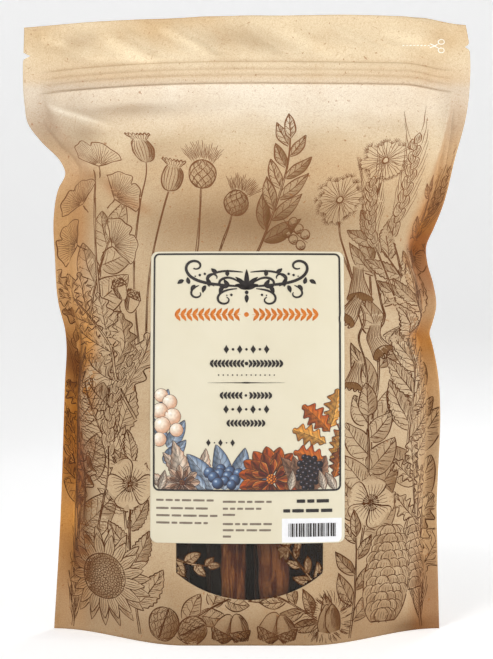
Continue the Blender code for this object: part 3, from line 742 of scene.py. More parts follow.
def slice_points(low, high, wobble):
    """A closed strip. Its section is a rounded box, x and y being cos and sin to the power 0.35; along it the
    width follows a blunt sine, and slow waves bend its edges. The ends shrink to a point."""
    around, along = np.meshgrid(np.linspace(0, 2 * math.pi, 33)[:-1], np.linspace(0, 1, 42))
    middle, half = (low + high) / 2, (high - low) / 2
    round_off = np.sqrt(np.clip(1 - np.clip(abs(2 * along - 1) * 1.012 - 0.012, 0, 1) ** 14, 0, 1))
    width = (0.74 + 0.24 * np.sin(math.pi * along) ** 0.5) * round_off
    cos, sin = np.cos(around), np.sin(around)
    x = np.sign(cos) * abs(cos) ** 0.35 * width
    y = np.sign(sin) * abs(sin) ** 0.35 * (0.84 + 0.1 * np.sin(9 * along + wobble)) * round_off
    sway = 0.05 * np.sin(5 * along + wobble) + 0.02 * np.sin(17 * along + 2 * wobble)
    notch = 0.03 * np.sin(41 * along + 3 * wobble) * np.sign(cos)
    points = np.stack([x + sway + notch, y, 2 * along - 1], axis=-1)
    return middle + points * half, x / np.maximum(width, 1e-3)


def dried_slice(number, node):
    """One slice, in the room that its solid takes up."""
    low, high = (np.array(corner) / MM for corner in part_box(node))
    points, share = slice_points(low, high, 1.7 * number)
    piece = make_piece(f"dried_{node}", points, tube_faces(*points.shape[:2]), DRIED_SLICE)
    set_values(piece, "across_slice", share)
    # All but the nearest slices get most of the painted shade; the nearest get only a little variation in tone.
    nearest, ripe = low[1] < -30, 0.5 + 0.5 * math.sin(2.3 * number)
    set_values(piece, "tone_and_shade", np.full(share.shape, 0.22 * ripe if nearest else 0.86 + 0.14 * ripe))
    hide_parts(node)


for number, node in enumerate(sorted(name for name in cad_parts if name.startswith("slice_"))):
    dried_slice(number, node)


# ---------------------------------------------------------------------------------------------------------------
# The print: line drawings of woodland and meadow plants in brown ink, over both plies below the zip. Each line
# is a ribbon laid on the laminate. What is drawn later covers what lies behind it.

INK_LIFT, TINT_LIFT = 0.06, 0.04
LINE_STEP, PATCH_STEP = 1.0, 1.6
FLAT_RIDGE, USUAL_RIDGE, GOLDEN_ANGLE = 92, 88, 2.39996
FLAT_KEYS, ACROSS_KEYS_FLAT = [0, FLAT_RIDGE, 106, 115], [0, AT_RIDGE, AT_SEAL, 1]


def outer_grid(facing):
    """Points and normals of a ply's outer face at the corners of its grid."""
    across, height = np.meshgrid(panel_across, panel_heights)
    normal = outward(facing, across, height)
    return np.stack([ply_points(facing, across, height) + PLY * normal, normal])


OUTER_GRIDS = {facing: outer_grid(facing) for facing in (-1, 1)}


def on_outer_face(facing, across, height, lift):
    """Places on a ply's outer face, lifted off it. A quad is split from its first corner to the one across from it,
    and each place is weighed from the corners of its triangle, so that it never sinks into the ply's own mesh."""
    near = np.clip(np.searchsorted(panel_across, across) - 1, 0, len(panel_across) - 2)
    near, far = (near, near + 1) if facing < 0 else (near + 1, near)
    row = np.clip(np.searchsorted(panel_heights, height) - 1, 0, len(panel_heights) - 2)
    s = ((across - panel_across[near]) / (panel_across[far] - panel_across[near]))[..., None]
    t = ((height - panel_heights[row]) / (panel_heights[row + 1] - panel_heights[row]))[..., None]
    grid = OUTER_GRIDS[facing]
    point, normal = (
        (1 - np.maximum(s, t)) * grid[:, row, near] + np.maximum(s - t, 0) * grid[:, row, far]
        + np.minimum(s, t) * grid[:, row + 1, far] + np.maximum(t - s, 0) * grid[:, row + 1, near]
    )
    return point + np.reshape(lift, (-1, 1)) * normal


def on_ply(facing, flat, lift):
    """Places of flat print, by distance along the ply from its middle, and height."""
    across = np.sign(flat[..., 0]) * np.interp(abs(flat[..., 0]), FLAT_KEYS, ACROSS_KEYS_FLAT)
    return on_outer_face(facing, across, np.clip(flat[..., 1], 0.4, HEIGHT), lift)


def unit(angle):
    """The direction (cos, sin) of each angle."""
    return np.stack([np.cos(angle), np.sin(angle)], axis=-1)


def circle(steps):
    """Points round a circle of radius 1, the last on the first."""
    return unit(np.linspace(0, 2 * math.pi, steps))


def spiral(count):
    """Places spread evenly over a disc of radius 1, each turned by the golden angle from the one before."""
    rank = np.arange(count)
    return np.sqrt((rank + 0.5) / count)[:, None] * unit(rank * GOLDEN_ANGLE)


class Drawing:
    """Lines and painted patches in the flat, and the outlines of shapes that hide whatever was drawn before."""

    def __init__(self, seed, waver=0.13, nib=1.0, grounded=False):
        self.random = np.random.default_rng(seed)
        self.waver, self.nib, self.grounded = waver, nib, grounded
        self.lines, self.patches, self.covers = [], [], []

    def draw(self, points, width, taper=0.6):
        """Adds lines, an array (lines, points, 2), that thin towards both ends and waver a little."""
        points = np.array(points, float)
        if points.ndim == 2:
            points = points[None]
        longest = np.linalg.norm(np.diff(points, axis=1), axis=-1).sum(1).max()
        steps = max(points.shape[1], int(longest / LINE_STEP))
        at = np.linspace(0, points.shape[1] - 1, steps)
        low = np.minimum(at.astype(int), points.shape[1] - 2)
        points = points[:, low] + (at - low)[None, :, None] * (points[:, low + 1] - points[:, low])
        count, t = len(points), np.linspace(0, 1, steps)
        phase = self.random.uniform(0, 2 * math.pi, (count, 1, 2))
        turns = self.random.uniform(1, 2.5, (count, 1, 2))
        waver = self.waver * np.sin(2 * math.pi * t[None, :, None] * turns + phase)
        press = 1 + 2 * self.waver * np.sin(7 * t[None] + phase[:, :, 0])
        thin = 1 - taper * (1 - np.sin(math.pi * np.clip(t, 0.02, 0.98)) ** 0.5)
        self.lines.append((len(self.covers), points + waver, 0.5 * self.nib * width * press * thin[None]))

    def paint(self, points, colours):
        """Adds a grid of points, an array (rows, columns, 2), with a colour or a depth of tint at each."""
        colours = np.broadcast_to(colours, (*points.shape[:2], np.shape(colours)[-1]))
        self.patches.append((len(self.covers), points, colours))

    def cover(self, outline):
        """Hides, inside this outline, everything drawn so far. A grounded drawing also fills it in."""
        self.covers.append(np.array(outline, float))
        if self.grounded:
            half = len(outline) // 2
            self.paint(np.stack([outline[:half], outline[:-half - 1:-1]], axis=1), np.zeros(1))

    def visible(self, parts):
        """For every line or patch, whether each of its points is clear of all the covers that came after it."""
        points = np.concatenate([part[1].reshape(-1, 2) for part in parts])
        order = np.concatenate([np.full(part[1][..., 0].size, part[0]) for part in parts])
        clear = np.ones(len(points), bool)
        for rank, outline in enumerate(self.covers):
            low, high = outline.min(0), outline.max(0)
            near = np.flatnonzero((order <= rank) & clear & ((points > low) & (points < high)).all(1))
            clear[near] = ~inside(points[near], outline)
        sizes = np.cumsum([part[1][..., 0].size for part in parts])[:-1]
        return [seen.reshape(part[1].shape[:2]) for seen, part in zip(np.split(clear, sizes), parts)]


def bent_line(start, heading, length, bend, t):
    """A line whose heading turns evenly by bend: x = L/b sin(bt) and y = L/b (1 - cos(bt)), turned by heading."""
    bend = bend if abs(bend) > 1e-3 else 1e-3
    x, y = length / bend * np.sin(bend * t), length / bend * (1 - np.cos(bend * t))
    cos, sin = math.cos(heading), math.sin(heading)
    return np.stack([start[0] + x * cos - y * sin, start[1] + x * sin + y * cos], axis=-1)


def blade(start, heading, length, bend, profile):
    """Returns a map from (t along, share across) to the flat: a bent line, plus share times its half width."""
    def place(t, share):
        t, share = np.broadcast_arrays(np.asarray(t, float), np.asarray(share, float))
        side = unit(heading + bend * t + math.pi / 2)
        return bent_line(start, heading, length, bend, t) + (share * profile(t))[..., None] * side
    return place


def hump(half, low=0.0, power=1.0, blunt=1.0, high=1.0):
    """A profile: half times sin(pi s^power)^blunt, where s runs from low to high along the blade."""
    return lambda t: half * np.sin(math.pi * np.clip(low + (high - low) * t, 0, 1) ** power) ** blunt


def ball(centre, radius, heading, width=1.0, power=1.0):
    """A blade through a ball: half its width is the root of 1 - (2t - 1)^2, to a power, times width."""
    return blade(np.array(centre, float) - radius * unit(heading), heading, 2 * radius, 0,
                 lambda t: width * radius * np.sqrt(np.clip(1 - (2 * t - 1) ** 2, 0, 1)) ** power)


def streaks(drawing, place, along, shares, width, taper=0.6):
    """Lines along a blade, one at each share across it. along gives their first t, their last t and steps."""
    drawing.draw(place(np.linspace(*along)[None], np.reshape(shares, (-1, 1))), width, taper)


def outlined(drawing, place, width=0.42, steps=26, covering=True):
    """Covers what is behind a blade, then draws its two edges."""
    t = np.linspace(0, 1, steps)
    left, right = place(t, 1.0), place(t, -1.0)
    if covering:
        drawing.cover(np.concatenate([left, right[::-1]]))
    drawing.draw(np.stack([left, right]), width, 0.3)


def tinted(drawing, place, depth):
    """A tint over a blade, deepest down one side: depth times 0.35, plus 0.65 of it where the share nears -1."""
    length = np.linalg.norm(place(1, 0) - place(0, 0))
    width = np.linalg.norm(place(0.5, 1) - place(0.5, -1))
    rows, columns = (int(np.clip(size / PATCH_STEP, low, 40)) for size, low in ((length, 8), (width, 5)))
    t, share = np.meshgrid(np.linspace(0, 1, rows), np.linspace(-1, 1, columns), indexing="ij")
    drawing.paint(place(t, share), depth * (0.35 + 0.65 * smoothstep(0.3, -1.0, share))[..., None])


# Each kind of leaf as (power, bluntness, lobes, depth of a lobe).
LEAF_KINDS = {
    "lance": (0.85, 1.0, 0, 0), "broad": (0.70, 0.75, 0, 0), "toothed": (0.75, 0.85, 9, 0.08),
    "oak": (1.15, 0.65, 4.5, 0.27), "petal": (1.7, 0.8, 0, 0),
}


def leaf_profile(kind, width):
    """Half the width along a leaf: sin(pi t^power)^bluntness, times a ripple of 1 - depth + depth cos(turns)."""
    power, blunt, lobes, depth = LEAF_KINDS[kind]

    def profile(t):
        smooth = np.sin(math.pi * np.clip(t, 0, 1) ** power) ** blunt
        return width / 2 * smooth * (1 - depth + depth * np.cos(2 * math.pi * lobes * t + math.pi))

    return profile


def leaf(drawing, start, heading, length, width, bend=0.3, kind="lance", veins=6, shade=0.6):
    """A leaf with a midrib, swept side veins, and hatching on one half."""
    place = blade(start, heading, length, bend, leaf_profile(kind, width))
    outlined(drawing, place, steps=44 if LEAF_KINDS[kind][2] else 24)
    tinted(drawing, place, drawing.random.uniform(0.12, 0.85))
    drawing.draw(place(np.linspace(0, 0.97, 14), 0.0), 0.34)
    root = np.linspace(0.10, 0.78, veins)[:, None]
    q = np.linspace(0, 1, 8)[None]
    for side in (-1, 1):
        along = root + 0.20 * q**0.8
        drawing.draw(place(along, side * 0.86 * q), 0.24)
    rows = int(veins * 3.5 * shade)
    if rows:
        root = np.linspace(0.08, 0.8, rows)[:, None] + drawing.random.uniform(-0.02, 0.02, (rows, 1))
        reach = drawing.random.uniform(0.45, 0.9, (rows, 1))
        q = np.linspace(0, 1, 6)[None]
        drawing.draw(place(root + 0.14 * q, -reach * q), 0.17)
        near = np.linspace(0.3, 0.9, rows)[:, None]
        drawing.draw(place(near + 0.05 * q, 0.95 - 0.35 * q), 0.15)


def stem(drawing, start, heading, length, bend, thick=1.1):
    """A stem: two edges that draw together towards the tip, and a broken line of shade. Returns its map."""
    place = blade(start, heading, length, bend, lambda t: thick / 2 * (1 - 0.55 * t))
    outlined(drawing, place, 0.36, 30)
    for first, last in ((0.05, 0.3), (0.38, 0.6), (0.68, 0.9)):
        drawing.draw(place(np.linspace(first, last, 8), -0.35), 0.22)
    return place


def sprig(drawing, start, heading, length, bend, kind, pairs, leaf_length, slim=0.42, thick=1.0, opposite=False):
    """A stem with leaves to both sides by turns, smaller towards the tip, and one at the tip."""
    at = np.linspace(0.16, 0.94, pairs * 2)
    for rank, t in enumerate(at):
        side = 1 if rank % 2 else -1
        if opposite:
            t = at[rank - rank % 2]
        foot = bent_line(start, heading, length, bend, np.array(t))
        size = leaf_length * (1.05 - 0.45 * t) * drawing.random.uniform(0.88, 1.08)
        turn = heading + bend * t + side * drawing.random.uniform(0.62, 0.95)
        leaf(drawing, foot, turn, size, size * slim, -side * 0.35, kind, veins=max(4, int(size / 5)))
    tip = bent_line(start, heading, length, bend, np.array(1.0))
    leaf(drawing, tip, heading + bend, leaf_length * 0.62, leaf_length * 0.6 * slim, 0.1, kind, veins=4)
    stem(drawing, start, heading, length, bend, thick)


def fern(drawing, start, heading, length, bend, pairs=17, leaflet=24.0):
    """A frond: a stem with opposite leaflets, longest a third of the way up, each with a midrib."""
    stem(drawing, start, heading, length, bend, 1.0)
    for t in np.linspace(0.10, 0.985, pairs)[::-1]:
        foot = bent_line(start, heading, length, bend, np.array(t))
        size = leaflet * (math.sin(math.pi * (0.12 + 0.86 * t) ** 0.8) ** 0.8 + 0.10)
        for side in (-1, 1):
            turn = heading + bend * t + side * (1.22 - 0.45 * t)
            place = blade(foot, turn, size, -side * 0.28,
                          lambda q, size=size: size * 0.12 * np.sin(math.pi * q**0.7) ** 0.7
                          * (1 + 0.16 * np.cos(2 * math.pi * 6 * q)))
            outlined(drawing, place, 0.32, 26, covering=False)
            drawing.draw(place(np.linspace(0, 0.95, 8), 0.0), 0.2)


def seed_head(drawing, centre, radius, foot):
    """A ripe seed clock: a stalk, rays from a small heart, and a tuft of short hairs at the end of each ray."""
    centre, foot = np.array(centre, float), np.array(foot, float)
    reach = centre - foot
    stem(drawing, foot, math.atan2(reach[1], reach[0]) - 0.12, np.hypot(*reach), 0.24, 0.9)
    drawing.cover(centre + 0.96 * radius * circle(40))
    rays = 34
    angle = np.linspace(0, 2 * math.pi, rays, endpoint=False) + drawing.random.uniform(-0.06, 0.06, rays)
    size = radius * drawing.random.uniform(0.70, 0.98, rays)
    toward = unit(angle)
    q = np.linspace(0.14, 1, 6)
    drawing.draw(centre + toward[:, None] * (size[:, None] * q)[..., None], 0.2)
    for spread in (-0.85, -0.45, 0, 0.45, 0.85):
        hair = unit(angle + spread)
        tip = centre + toward * size[:, None]
        drawing.draw(tip[:, None] + 0.2 * radius * np.linspace(0, 1, 4)[:, None] * hair[:, None], 0.16)
    drawing.draw(centre + 0.13 * radius * circle(40), 0.5, 0)


def lattice(drawing, place, rows, lean=0.5):
    """Scales on a rounded body: two families of lines that cross, each turning round it as a sine, and hatching."""
    t = np.linspace(0.02, 0.98, 26)[None]
    start = np.linspace(-1.6, 1.6, rows)[:, None]
    for side in (-1, 1):
        share = start + side * lean * (t - 0.5) * 2.4
        seen = abs(share) < 1
        share = np.sin(np.clip(share, -1, 1) * math.pi / 2)
        for line, keep in zip(place(t, share), seen):
            if keep.sum() > 3:
                drawing.draw(line[keep], 0.3, 0.2)
    count = rows * 9
    root = drawing.random.uniform(0.05, 0.9, (count, 1))
    across = drawing.random.uniform(-0.92, 0.75, (count, 1))
    q = np.linspace(0, 1, 4)[None]
    drawing.draw(place(root + 0.07 * q, across + 0.10 * q), 0.2)


def cone(drawing, start, heading, length, width, rows=9):
    """A pine cone: an egg shape, and on it staggered rows of scales. Each row covers the feet of the one above."""
    place = blade(start, heading, length, 0.08, hump(width / 2, 0.05, 0.72, 0.62, 0.95))
    outlined(drawing, place, 0.5, 30)
    tinted(drawing, place, 0.5)
    for row, t in enumerate(np.linspace(0.86, 0.0, rows)):
        spots = np.linspace(-0.86, 0.86, 5) if row % 2 else np.linspace(-0.68, 0.68, 4)
        for share in spots[np.argsort(-abs(spots))]:
            foot = place(np.array(t), np.array(share))
            half = 0.155 * width * (0.55 + 0.45 * math.cos(share))
            scale = blade(foot, heading + 0.08 * t - 0.55 * share, 1.5 * length / rows, 0.0,
                          hump(half, 0.12, 1.0, 0.5, 0.98))
            outlined(drawing, scale, 0.36, 12)
            drawing.draw(scale(np.ones(5), np.linspace(-1, 1, 5)), 0.40, 0.1)
            t_in, share_in = np.meshgrid(np.linspace(0.1, 0.86, 6), np.linspace(-0.72, 0.72, 5), indexing="ij")
            drawing.paint(scale(t_in, share_in), np.full((6, 5, 1), drawing.random.uniform(0.20, 0.62)))
            streaks(drawing, scale, (0.15, 0.72, 4), np.linspace(-0.75, 0.45, 4), 0.20)
    drawing.draw(place(np.zeros(8), np.linspace(-1, 1, 8)), 0.5, 0)


def sunflower(drawing, centre, radius):
    """A sunflower: two rings of long petals behind a wide heart, on which seeds lie on a spiral."""
    centre = np.array(centre, float)
    for ring, (count, reach) in enumerate(((19, 1.0), (17, 0.86))):
        for petal in range(count):
            heading = 2 * math.pi * (petal + 0.5 * ring) / count
            foot = centre + 0.40 * radius * unit(heading)
            place = blade(foot, heading, radius * (reach - 0.40), 0.15, hump(0.105 * radius, 0.1, 0.8, 0.8))
            outlined(drawing, place, 0.38, 14)
            tinted(drawing, place, drawing.random.uniform(0.05, 0.4))
            streaks(drawing, place, (0.05, 0.8, 6), (-0.5, -0.1, 0.4), 0.2)
    rim = centre + 0.46 * radius * circle(41)
    drawing.cover(rim)
    share = np.linspace(0, 1, 6)[:, None]
    drawing.paint(centre + share * (rim[:, None] - centre), (0.30 + 0.35 * share**2)[None])
    drawing.draw(rim, 0.45, 0)
    spot = centre + 0.44 * radius * spiral(150)
    drawing.draw(spot[:, None] + 0.030 * radius * circle(7), 0.26, 0)


def walnut(drawing, centre, radius, turn=0.0):
    """A walnut: a round shell with a seam down its middle and wandering wrinkles to both sides."""
    shell = ball(centre, radius, turn, 0.92, 0.9)
    outlined(drawing, shell, 0.46, 30)
    tinted(drawing, shell, 0.5)
    t = np.linspace(0.03, 0.97, 26)[None]
    share = np.linspace(-0.9, 0.9, 11)[:, None]
    wander = 0.07 * np.sin(23 * t + 9 * share) + 0.05 * np.sin(41 * t - 5 * share)
    drawing.draw(shell(t, np.clip(share + wander, -0.98, 0.98)), 0.28)
    streaks(drawing, shell, (0.03, 0.97, 26), (-0.03, 0.05), 0.4, 0.2)


def husk(drawing, centre, radius):
    """A chestnut in its split husk: a ball of spines, and two smooth nuts that show in the gap."""
    centre = np.array(centre, float)
    angle = drawing.random.uniform(0, 2 * math.pi, (150, 1))
    foot = radius * drawing.random.uniform(0.55, 1.0, (150, 1))
    q = np.linspace(0, 1, 4)[None]
    reach = foot + 0.30 * radius * q
    drawing.draw(centre + reach[..., None] * unit(angle + 0.10 * q), 0.24)
    for side in (-1, 1):
        nut = blade(centre + [side * 0.26 * radius, -0.62 * radius], math.pi / 2 + side * 0.25, 1.25 * radius,
                    -side * 0.3, hump(0.36 * radius, 0.08, 0.75, 0.6))
        outlined(drawing, nut, 0.45, 24)
        tinted(drawing, nut, 0.95)
        streaks(drawing, nut, (0.15, 0.85, 8), np.linspace(-0.85, 0.2, 8), 0.2)


def acorn(drawing, start, heading, length):
    """An acorn: a smooth nut with hatching down one side, in a cup with a lattice of scales."""
    nut = blade(start, heading, length, 0.05, hump(0.34 * length, 0.12, 0.9, 0.5))
    outlined(drawing, nut, 0.42)
    tinted(drawing, nut, 0.35)
    streaks(drawing, nut, (0.25, 0.9, 12), np.linspace(-0.9, -0.35, 7), 0.2)
    cup = blade(start, heading, 0.36 * length, 0.0, lambda t: 0.40 * length * np.clip(t + 0.1, 0, 1) ** 0.45)
    outlined(drawing, cup, 0.42)
    tinted(drawing, cup, 0.6)
    lattice(drawing, cup, 8, 0.35)
    drawing.draw(cup(np.ones(12), np.linspace(-1, 1, 12)), 0.4)


def pod(drawing, centre, radius, foot):
    """A poppy's seed pod: a ribbed globe with a frilled crown, on a stalk."""
    centre, foot = np.array(centre, float), np.array(foot, float)
    reach = centre - foot
    heading = math.atan2(reach[1], reach[0])
    stem(drawing, foot, heading + 0.10, np.hypot(*reach) - 0.9 * radius, -0.2, 0.9)
    globe = ball(centre, radius, heading, 0.86, 0.9)
    outlined(drawing, globe, 0.42)
    tinted(drawing, globe, 0.35)
    streaks(drawing, globe, (0.04, 0.96, 14), np.sin(np.linspace(-1.2, 1.2, 8)), 0.26)
    streaks(drawing, globe, (0.2, 0.85, 6), np.linspace(-0.95, -0.5, 9), 0.18)
    crown = blade(centre + 0.84 * radius * unit(heading), heading, 0.5 * radius, 0,
                  lambda t: radius * (0.45 + 0.5 * t))
    outlined(drawing, crown, 0.4)
    s = np.linspace(-1, 1, 40)
    drawing.draw(crown(1 + 0.18 * np.cos(7 * math.pi * s), s), 0.4, 0.2)
    streaks(drawing, crown, (0.1, 0.9, 5), np.linspace(-0.8, 0.8, 7), 0.24)


def rose(drawing, centre, radius, turn=0.0):
    """A wild rose: five notched petals with fine lines from their foot, and a ring of stamens."""
    centre = np.array(centre, float)
    for petal in range(5):
        heading = turn + petal * 2 * math.pi / 5
        place = blade(centre, heading, radius, 0.15,
                      lambda t: 0.62 * radius * np.sin(0.93 * math.pi * np.clip(t, 0, 1) ** 1.75) ** 0.75)
        outlined(drawing, place, 0.4, 22)
        q = np.linspace(0.2, 0.72, 8)[None]
        drawing.draw(place(q, np.linspace(-0.8, 0.8, 7)[:, None] * (1 - 0.1 * q)), 0.2)
    toward = circle(23)[:-1]
    drawing.draw(centre + radius * np.linspace(0.06, 0.30, 4)[:, None] * toward[:, None], 0.24, 0)
    for place in centre + 0.32 * radius * toward:
        drawing.draw(place + 0.22 * circle(8), 0.34, 0)


def fan_leaf(drawing, foot, heading, radius, spread=1.25):
    """A ginkgo leaf: a fan whose veins fork outwards from the stalk, with a wavy edge and a cleft."""
    foot = np.array(foot, float)
    centre = foot + 0.45 * radius * unit(heading)
    drawing.draw(foot + (centre - foot) * np.linspace(0, 1, 8)[:, None], 0.5, 0.1)
    share = np.linspace(-1, 1, 48)
    edge = radius * (1 + 0.03 * np.sin(13 * share) - 0.20 * np.exp(-((share / 0.07) ** 2)))
    rim = centre + edge[:, None] * unit(heading + spread * share)
    drawing.cover(np.concatenate([rim, centre[None]]))
    drawing.draw(rim, 0.42, 0.2)
    ends = np.stack([rim[0], rim[-1]])
    q = np.linspace(0, 1, 10)[None, :, None]
    drawing.draw(centre + (ends[:, None] - centre) * q, 0.4, 0.1)
    picked = rim[2:-2:2]
    drawing.draw(centre + (picked[:, None] - centre) * (0.12 + 0.83 * q), 0.18, 0.5)


def grain_ear(drawing, start, heading, length, bend):
    """An ear of grain: plump kernels by turns along a bent stem, each with a long fine awn."""
    count = 15
    for rank in range(count):
        t = 0.42 + 0.56 * rank / (count - 1)
        side = 1 if rank % 2 else -1
        foot = bent_line(start, heading, length, bend, np.array(t))
        turn = heading + bend * t + side * 0.38
        size = 8.4 * (1.06 - 0.3 * rank / count)
        tip = foot + size * unit(turn)
        awn = bent_line(tip, turn - side * 0.12, 17.0, -side * 0.2, np.linspace(0, 1, 8))
        drawing.draw(awn, 0.2, 0.8)
        place = blade(foot, turn, size, -side * 0.2, hump(0.24 * size, 0.0, 0.8, 0.7))
        outlined(drawing, place, 0.36, 14)
        streaks(drawing, place, (0.1, 0.8, 6), (-0.45, -0.1, 0.4), 0.2)
    stem(drawing, start, heading, 0.48 * length, 0.48 * bend, 0.9)


def berries(drawing, start, heading, length, count, size=3.0):
    """A hanging bunch of berries, each a circle with a lit spot and hatching on its shaded side."""
    for rank in range(count):
        t = 0.25 + 0.75 * rank / count
        foot = bent_line(start, heading, length, 0.3, np.array(t))
        side = (-1) ** rank
        centre = foot + size * 1.3 * unit(heading + side * 1.3)
        drawing.draw(foot + (centre - foot) * np.linspace(0, 1, 4)[:, None], 0.26)
        drawing.cover(centre + size * circle(18))
        drawing.draw(centre + size * circle(18), 0.4, 0)
        for inner in (0.8, 0.6, 0.4):
            drawing.draw(centre + inner * size * unit(np.linspace(-2.4, -0.2, 9)), 0.24)
    drawing.draw(bent_line(start, heading, length, 0.3, np.linspace(0, 1, 14)), 0.4)


def thistle(drawing, centre, radius, foot):
    """A thistle: a scaly globe on a stalk, with a brush of fine hairs above it."""
    centre, foot = np.array(centre, float), np.array(foot, float)
    reach = centre - foot
    heading = math.atan2(reach[1], reach[0])
    stem(drawing, foot, heading - 0.08, np.hypot(*reach) - radius, 0.16, 1.2)
    fan = heading + np.linspace(-0.75, 0.75, 26)[:, None]
    q = np.linspace(0.5, 1.0, 6)[None] * radius * 2.3
    q = q * drawing.random.uniform(0.86, 1.04, (26, 1))
    drawing.draw(centre + q[..., None] * unit(fan), 0.26, 0.7)
    globe = ball(centre, radius, heading)
    outlined(drawing, globe, 0.45)
    tinted(drawing, globe, 0.4)
    lattice(drawing, globe, 8, 0.6)


def bell_flower(drawing, start, heading, length):
    """A nodding bell: a flared tube with ribs, and a mouth of pointed lobes round a dark throat."""
    tube = blade(start, heading, length, 0.15, lambda t: length * (0.16 + 0.26 * np.clip(t, 0, 1) ** 1.8))
    outlined(drawing, tube, 0.4, 20)
    tinted(drawing, tube, 0.6)
    ribs = max(6, int(length / 2))
    streaks(drawing, tube, (0.05, 0.92, 10), np.linspace(-0.8, 0.8, ribs), 0.22)
    share = np.linspace(-1, 1, 34)
    lobes = 0.13 * abs(np.sin(2 * math.pi * share))
    drawing.draw(tube(1.0 + lobes, share), 0.42, 0.1)
    throat = 1 - 0.20 * np.sqrt(1 - share**2)
    drawing.draw(tube(throat, share), 0.32, 0.1)
    q = np.linspace(0, 1, 4)[:, None]
    drawing.paint(tube(throat + (1.0 + 0.6 * lobes - throat) * q, share), np.full(1, 1.15))


def needles(drawing, start, heading, length, bend, count=46, size=17.0):
    """A pine twig: long needles in pairs, sweeping forwards from a rough stem."""
    t = np.linspace(0.05, 1, count)[:, None]
    foot = bent_line(start, heading, length, bend, t[:, 0])
    for side in (-1, 1):
        turn = heading + bend * t + side * drawing.random.uniform(0.35, 0.8, (count, 1))
        q = np.linspace(0, 1, 7)[None]
        reach = size * (1.1 - 0.35 * t) * drawing.random.uniform(0.85, 1.1, (count, 1))
        drawing.draw(foot[:, None] + (reach * q)[..., None] * unit(turn - side * 0.25 * q), 0.26, 0.5)
    stem(drawing, start, heading, length, bend, 1.2)


DEGREE = math.pi / 180


